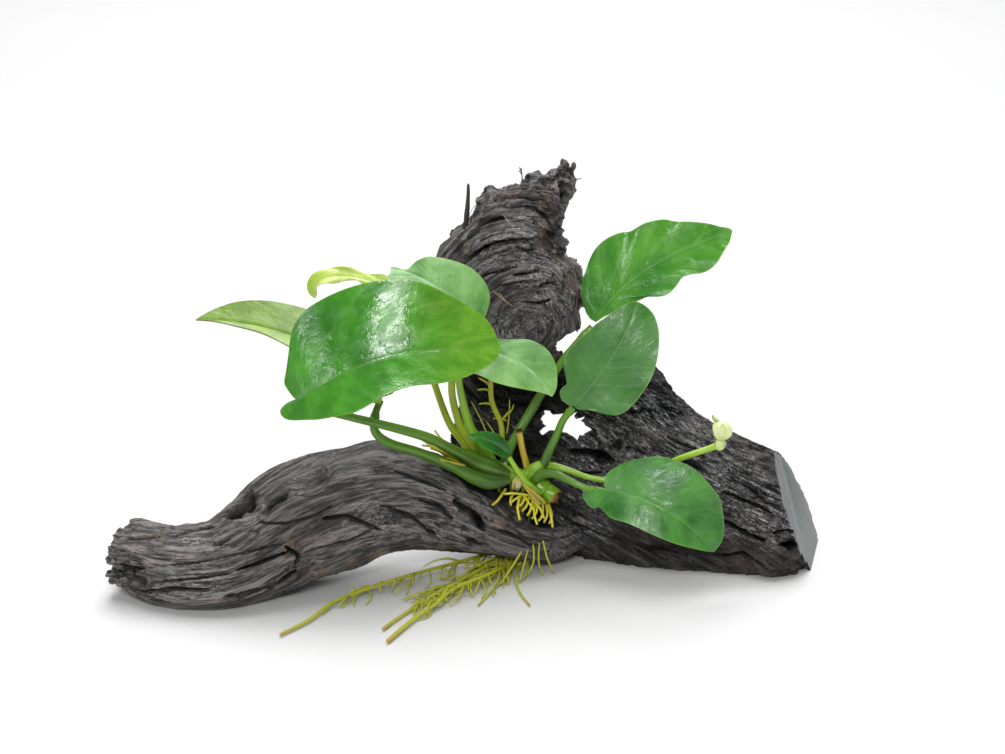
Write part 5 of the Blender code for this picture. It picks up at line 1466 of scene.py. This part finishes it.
def rootlet_rows(name, points):
    """Guide points and radius of a root's side rootlets. They leave it forwards and lie low over the ground.

    They grow between 0.38 and 0.80 of the root's length, most of them at angles inside the root's fan.
    """
    spacing, reach, fan = ROOTLETS[name]
    chance = random.Random(name)
    length = sum((Vector(a) - Vector(b)).length for a, b in zip(points, points[1:]))
    count = int(0.52 * length / spacing)
    for i in range(count):
        share = (i + chance.uniform(-1, 2)) / count
        t = 0.38 + 0.42 * max(0.0, min(1.0, share)) ** 1.2
        foot = Vector(blend_rows(points, t))
        angle = math.radians(chance.uniform(*fan) if chance.random() < 0.8 else chance.uniform(-25, 30))
        way, aside = Vector((-math.cos(angle), -math.sin(angle), 0)), Vector((math.sin(angle), -math.cos(angle), 0))
        long = reach * (0.25 + 0.75 * chance.random() ** 1.3) * (1.1 - 0.6 * share)
        bow = aside * long * 0.2 * chance.uniform(-1, 1)
        rise = chance.uniform(-1.0, 2.4)
        tip_high = max(0.35, foot.z * (1.2 * chance.random() - 0.4))
        guide = [foot]
        for part in (0.35, 0.7, 1.0):
            spot = foot + way * long * part + bow * math.sin(math.pi * part)
            spot.z = foot.z + (tip_high - foot.z) * part + rise * math.sin(math.pi * part)
            spot.z = max(0.35, spot.z)
            guide.append(spot)
        yield guide, 0.42 - 0.12 * chance.random()


def root_swell(seed):
    """The form of a root: slow swellings along it, which differ with the seed."""

    def swell(t, angle):
        return 0.97 + 0.14 * waver(14 * t, seed, 0)

    return swell


class ANUBIAS_OT_roots(bpy.types.Operator):
    """Builds the roots with their side rootlets and the tuft under the stem"""

    bl_idname = "anubias.roots"
    bl_label = "Roots"

    def execute(self, context):
        finish = stem_finish("root skin, tan at the tips", "#a0a822", "#c0c23a", "#b08a4a", gloss=0.38, tip_from=1.2)
        yellow = stem_finish("young root, yellow", "#c4bc24", "#dcd448", "#b98f3a", gloss=0.35, tip_from=1.2)
        for name, (points, start, tip) in ROOTS.items():
            bm = stem_mesh()
            slim = ROOT_SLIMMING if name in ROOTLETS else 1.0
            swell = root_swell(len(name) + int(name[-1]) if name[-1].isdigit() else 3)
            grow(bm, points, [slim * start, slim * tip], sides=12, rings=16 * len(points), swell=swell)
            run, dye, _ = stem_fields(bm)
            if name in ROOTLETS:
                for guide, radius in rootlet_rows(name, points):
                    grow(bm, guide, [radius, 0.9 * radius, 0.8 * radius, 0.6 * radius], sides=6, rings=9)
            if name == "air_root":
                for foot, end in AIR_ROOTLETS:
                    middle = (Vector(foot) + Vector(end)) / 2 + Vector((0, 0, 0.4))
                    grow(bm, [foot, middle, end], [0.45, 0.38, 0.25], sides=8, rings=8)
                for strand in THIN_ROOTS:
                    grow(bm, strand, [0.3, 0.26, 0.18], sides=6, rings=14)
            for *strand, radius in TUFT.get(name, []):
                grow(bm, strand, [radius, 0.85 * radius], sides=10, rings=14)
            for vert in bm.verts:
                vert[dye] = 0.7 * float(np.clip((vert[run] - 0.9) / 0.1, 0, 1))
            tuft = name in ("root_06", "root_07", "root_08", "root_09", "root_10", "root_11")
            finish_stems(f"grown_{name}", bm, "root_skin", yellow if tuft else finish, name)
        return {"FINISHED"}


# Loose fibres, splinters and twigs of the wood: kind, and points on or over its surface. Then the radius of each kind
# and the two splinters at the upper left.
FIBRES = [
    ("rootlet", [(6.1, 34.7, 119.8), (9.2, 26.1, 121.3), (12.6, 23.6, 119.2), (16, 20.8, 115.1)]),
    ("rootlet", [(10.1, 14.5, 94.3), (12.6, 14.1, 92.2), (16, 12.7, 89.9), (18.6, 13.2, 87.4)]),
    ("rootlet", [(11.8, 14.7, 93.8), (14.3, 13.3, 91.1), (18.2, 13.1, 88.1)]),
    ("rootlet", [(25, 23.9, 115.6), (28.1, 26.2, 112.9), (31.3, 36.1, 109.5)]),
    ("strip", [(25, 22, 111.3), (28.1, 24.6, 107.1), (31.5, 21.8, 103), (34.9, 19.7, 99.1), (35.6, 19.3, 91.7),
      (34.8, 17.4, 86.4)]),
    ("strip", [(25.9, 23.2, 111.9), (29.5, 28.1, 107.2), (33.4, 27, 103), (36.3, 21, 98.8), (36.7, 20.4, 91.4),
      (35.9, 19.1, 85.9)]),
    ("strip", [(30.6, 20.9, 103.2), (34.1, 20.1, 101.2), (35.8, 20.7, 95.7), (35.4, 17.4, 90)]),
    ("strip", [(35, 18, 85.8), (31.5, 16.1, 82.3), (27.2, 14, 78)]),
    ("strip", [(10.9, 27.5, 123.1), (15.2, 27, 124.2), (21.2, 26.4, 124.3), (27.1, 24.4, 123.8),
      (30.7, 27.4, 118.8), (31.6, 29, 115.3)]),
    ("strip", [(5.7, 34.7, 119.4), (3.8, 37.6, 116.6), (1.8, 34.7, 113.6), (1.1, 22.7, 111.1)]),
    ("cross", [(8.2, 38.9, 121.6), (12.6, 29.5, 124), (9.2, 29.6, 122.7)]),
    ("twig", [(19.8, 30.5, 126), (19.6, 30, 129.4), (19.5, 30, 131.3), (19.3, 30, 133.1)]),
    ("twig", [(19.5, 30, 130.9), (18.4, 30, 132.3)]),
    ("twig", [(19.3, 30, 132), (18.6, 30, 133.3)]),
    ("prong", [(35.6, 34, 126.5), (36.4, 34, 129.5), (36.8, 34, 132.5)]),
    ("prong", [(33.5, 35, 133.4), (33.7, 35, 135)]),
    ("twig", [(35.4, 34, 128.6), (38.1, 34, 128.3), (39.8, 34, 128.7)]),
    ("twig", [(28.6, 33, 126), (28.9, 33, 130.7)]),
    ("tan", [(-102.1, -21.9, 21), (-101, -17, 20.8), (-98.2, -23.8, 21.8)]),
    ("tan", [(-102.3, -16.2, 20.5), (-98.7, -25.8, 21.4)]),
    ("tan", [(-99.8, -15.1, 20.7), (-96.7, -14.4, 21.1)]),
]
FIBRE_RADII = {"rootlet": 0.2, "strip": 0.15, "cross": 0.22, "twig": 0.26, "prong": 0.9, "tan": 0.22}
SMALL_SPLINTER = [(-1.4, 30.5, 103), (-0.8, 30.6, 109), (0.6, 31, 116)]
SPLINTER = [(1.5, 31, 98), (0.8, 31, 108), (0.6, 31, 114), (1.2, 31, 120), (1.5, 31, 127.5)]


class ANUBIAS_OT_fibres(bpy.types.Operator):
    """Builds the loose fibres, splinters and twigs of the driftwood"""

    bl_idname = "anubias.fibres"
    bl_label = "Fibres and splinters"

    def execute(self, context):
        def splintered(t, angle):
            return 1 + 0.25 * waver(3 * math.cos(angle), 3 * math.sin(angle), 9 * t)

        chance = random.Random(4)
        bark, tan = stem_mesh(), stem_mesh()
        grow(bark, SPLINTER, [1.5, 1.1, 0.9, 0.8, 0.45], sides=9, rings=30, swell=splintered)
        grow(bark, SMALL_SPLINTER, [0.7, 0.8, 0.4], sides=7, rings=12)
        for kind, line in FIBRES:
            line = [Vector(p) for p in line]
            radius = FIBRE_RADII[kind]
            dark = kind in ("twig", "prong")
            # A strip is a bundle of five strands, of which all but the first stray from its line.
            for strand in range(5 if kind == "strip" else 1):
                jog = Vector((chance.uniform(-1.8, 1.8), 0, chance.uniform(-1.8, 1.8))) * (strand > 0)
                guide = []
                for p in line:
                    stray = Vector((chance.uniform(-0.4, 0.4), 0, chance.uniform(-0.4, 0.4))) * (strand > 0)
                    guide.append(p + jog + stray + Vector((0, -0.12, 0.05)) * (not dark))
                thick = radius * (chance.uniform(0.6, 1.5) if kind == "strip" else 1)
                faded = 0.75 if kind in ("rootlet", "cross") else 0.0
                grow(bark if dark else tan, guide, [thick, 0.5 * thick], sides=6, rings=6 * len(line), colour=faded)
        dark = stem_finish("splintered wood, dark", "#211a17", "#3b302b", "#5a4438", gloss=0.6)
        light = stem_finish("torn fibre, grey-brown", "#4a413a", "#84766b", "#c0aa94", gloss=0.6)
        for name, bm, finish in (("dark_splinters", bark, dark), ("tan_fibres", tan, light)):
            finish_stems(name, bm, "root_wood", finish)
        return {"FINISHED"}


# Half the floor's width in metres, and the width of the camera's sensor in millimetres.
FLOOR_SIZE, SENSOR_WIDTH = 9.0, 36.0


class ANUBIAS_OT_stage(bpy.types.Operator):
    """Builds the pale floor, the soft studio light and the camera"""

    bl_idname = "anubias.stage"
    bl_label = "Stage"

    def execute(self, context):
        look = context.scene.stage_look
        bm = bmesh.new()
        bmesh.ops.create_grid(bm, x_segments=2, y_segments=2, size=FLOOR_SIZE)
        floor = mesh_object("pale_floor", bm)
        # White paper: matt, so that the object's shadow is soft and nothing is mirrored.
        paper, _, shader = new_finish("white paper")
        shader.inputs["Base Color"].default_value = linear("#dcdcdc")
        shader.inputs["Roughness"].default_value = 0.8
        floor.data.materials.append(paper)
        world = bpy.data.worlds.new("white room")
        world.use_nodes = True
        room = world.node_tree.nodes["Background"].inputs
        room["Color"].default_value = (1, 1, 1, 1)
        room["Strength"].default_value = look.room
        context.scene.world = world
        target = Vector(look.aim)
        # Each lamp's place, aim, width, height and power.
        lamps = [
            ("overhead softbox", (0.02, 0.12, 0.95), target, 0.8, 0.8, look.overhead),
            ("front softbox", (-0.03, -0.67, 0.49), target, 0.32, 0.155, look.front),
            ("side softbox", (-0.53, -0.44, 0.17), target, 0.2, 0.16, look.side),
            ("background softbox", (0.0, 1.7, 1.7), Vector((0.0, 1.5, 0.0)), 2.2, 2.2, look.back),
        ]
        for name, where, aim, width, height, power in lamps:
            light = bpy.data.lights.new(name, "AREA")
            light.shape, light.size, light.size_y, light.energy = "RECTANGLE", width, height, power
            lamp = bpy.data.objects.new(name.replace(" ", "_"), light)
            lamp.location = where
            lamp.rotation_euler = (aim - Vector(where)).to_track_quat("-Z", "Y").to_euler()
            context.scene.collection.objects.link(lamp)
        camera_data = bpy.data.cameras.new("photo_camera")
        camera_data.lens, camera_data.sensor_width = look.lens, SENSOR_WIDTH
        camera = bpy.data.objects.new("photo_camera", camera_data)
        turn = look.elevation
        camera.location = target + Vector((0, -math.cos(turn), math.sin(turn))) * look.distance
        camera.rotation_euler = (target - camera.location).to_track_quat("-Z", "Y").to_euler()
        context.scene.collection.objects.link(camera)
        context.scene.camera = camera
        context.scene.view_settings.view_transform = "Standard"
        return {"FINISHED"}


class DriftwoodLook(bpy.types.PropertyGroup):
    """How fine the wood is meshed, and its colours"""

    voxel: bpy.props.FloatProperty(
        name="Skin detail", description="Grid of the wood's skin, in millimetres", default=0.5, min=0.4, max=2.0
    )
    bark: bpy.props.FloatVectorProperty(
        name="Wood", description="Darkest wood", subtype="COLOR", size=4, default=linear("#0e0c0c"), min=0, max=1
    )
    strand: bpy.props.FloatVectorProperty(
        name="Strands", description="Paler strands of the grain",
        subtype="COLOR", size=4, default=linear("#978e8b"), min=0, max=1,
    )
    brown: bpy.props.FloatVectorProperty(
        name="Brown", description="Brown patches", subtype="COLOR", size=4, default=linear("#4a3a31"), min=0, max=1
    )
    tan: bpy.props.FloatVectorProperty(
        name="Tan", description="Torn edges and fibres",
        subtype="COLOR", size=4, default=linear("#a07e60"), min=0, max=1,
    )


class PlantLook(bpy.types.PropertyGroup):
    """The plant's leaves"""

    thickness: bpy.props.FloatProperty(
        name="Leaf thickness", description="In millimetres", default=0.5, min=0.2, max=0.8
    )


class StageLook(bpy.types.PropertyGroup):
    """The camera and the lights"""

    lens: bpy.props.FloatProperty(
        name="Lens", description="Focal length in millimetres", default=65.0, min=20, max=200
    )
    elevation: bpy.props.FloatProperty(
        name="Elevation", description="How far the camera looks down", subtype="ANGLE", default=math.radians(18)
    )
    distance: bpy.props.FloatProperty(
        name="Distance", description="From the camera to its aim", unit="LENGTH", default=0.6
    )
    aim: bpy.props.FloatVectorProperty(
        name="Aim", description="Point that the camera looks at",
        subtype="TRANSLATION", default=(0.00904, 0.004067, 0.069),
    )
    room: bpy.props.FloatProperty(
        name="Room light", description="Strength of the even white light", default=0.25, min=0
    )
    overhead: bpy.props.FloatProperty(
        name="Overhead light", description="Power of the large softbox", unit="POWER", default=6.8, min=0
    )
    front: bpy.props.FloatProperty(
        name="Front light", description="Power of the front softbox", unit="POWER", default=2.5, min=0
    )
    side: bpy.props.FloatProperty(
        name="Side light", description="Power of the small softbox at the left", unit="POWER", default=0.6, min=0
    )
    back: bpy.props.FloatProperty(
        name="Background light", description="Power of the softbox over the far floor",
        unit="POWER", default=52.0, min=0,
    )


STEPS = [
    ANUBIAS_OT_driftwood,
    ANUBIAS_OT_fibres,
    ANUBIAS_OT_rhizome,
    ANUBIAS_OT_leaves,
    ANUBIAS_OT_stalks,
    ANUBIAS_OT_furled_leaf,
    ANUBIAS_OT_stub,
    ANUBIAS_OT_roots,
    ANUBIAS_OT_stage,
]


class ANUBIAS_PT_panel(bpy.types.Panel):
    """Lists the settings and the pieces' operators"""

    bl_idname = "ANUBIAS_PT_panel"
    bl_label = "Anubias on driftwood"
    bl_space_type = "VIEW_3D"
    bl_region_type = "UI"
    bl_category = "Plant"

    def draw(self, context):
        for group in (context.scene.driftwood_look, context.scene.plant_look, context.scene.stage_look):
            box = self.layout.box()
            for key in group.__annotations__:
                box.prop(group, key)
        for step in STEPS:
            self.layout.operator(step.bl_idname)


CLASSES = [DriftwoodLook, PlantLook, StageLook, *STEPS, ANUBIAS_PT_panel]


def register():
    for made in CLASSES:
        bpy.utils.register_class(made)
    bpy.types.Scene.driftwood_look = bpy.props.PointerProperty(type=DriftwoodLook)
    bpy.types.Scene.plant_look = bpy.props.PointerProperty(type=PlantLook)
    bpy.types.Scene.stage_look = bpy.props.PointerProperty(type=StageLook)


def unregister():
    del bpy.types.Scene.driftwood_look, bpy.types.Scene.plant_look, bpy.types.Scene.stage_look
    for made in reversed(CLASSES):
        bpy.utils.unregister_class(made)


def main():
    register()
    for step in STEPS:
        group, name = step.bl_idname.split(".")
        getattr(getattr(bpy.ops, group), name)()


if __name__ == "__main__":
    main()
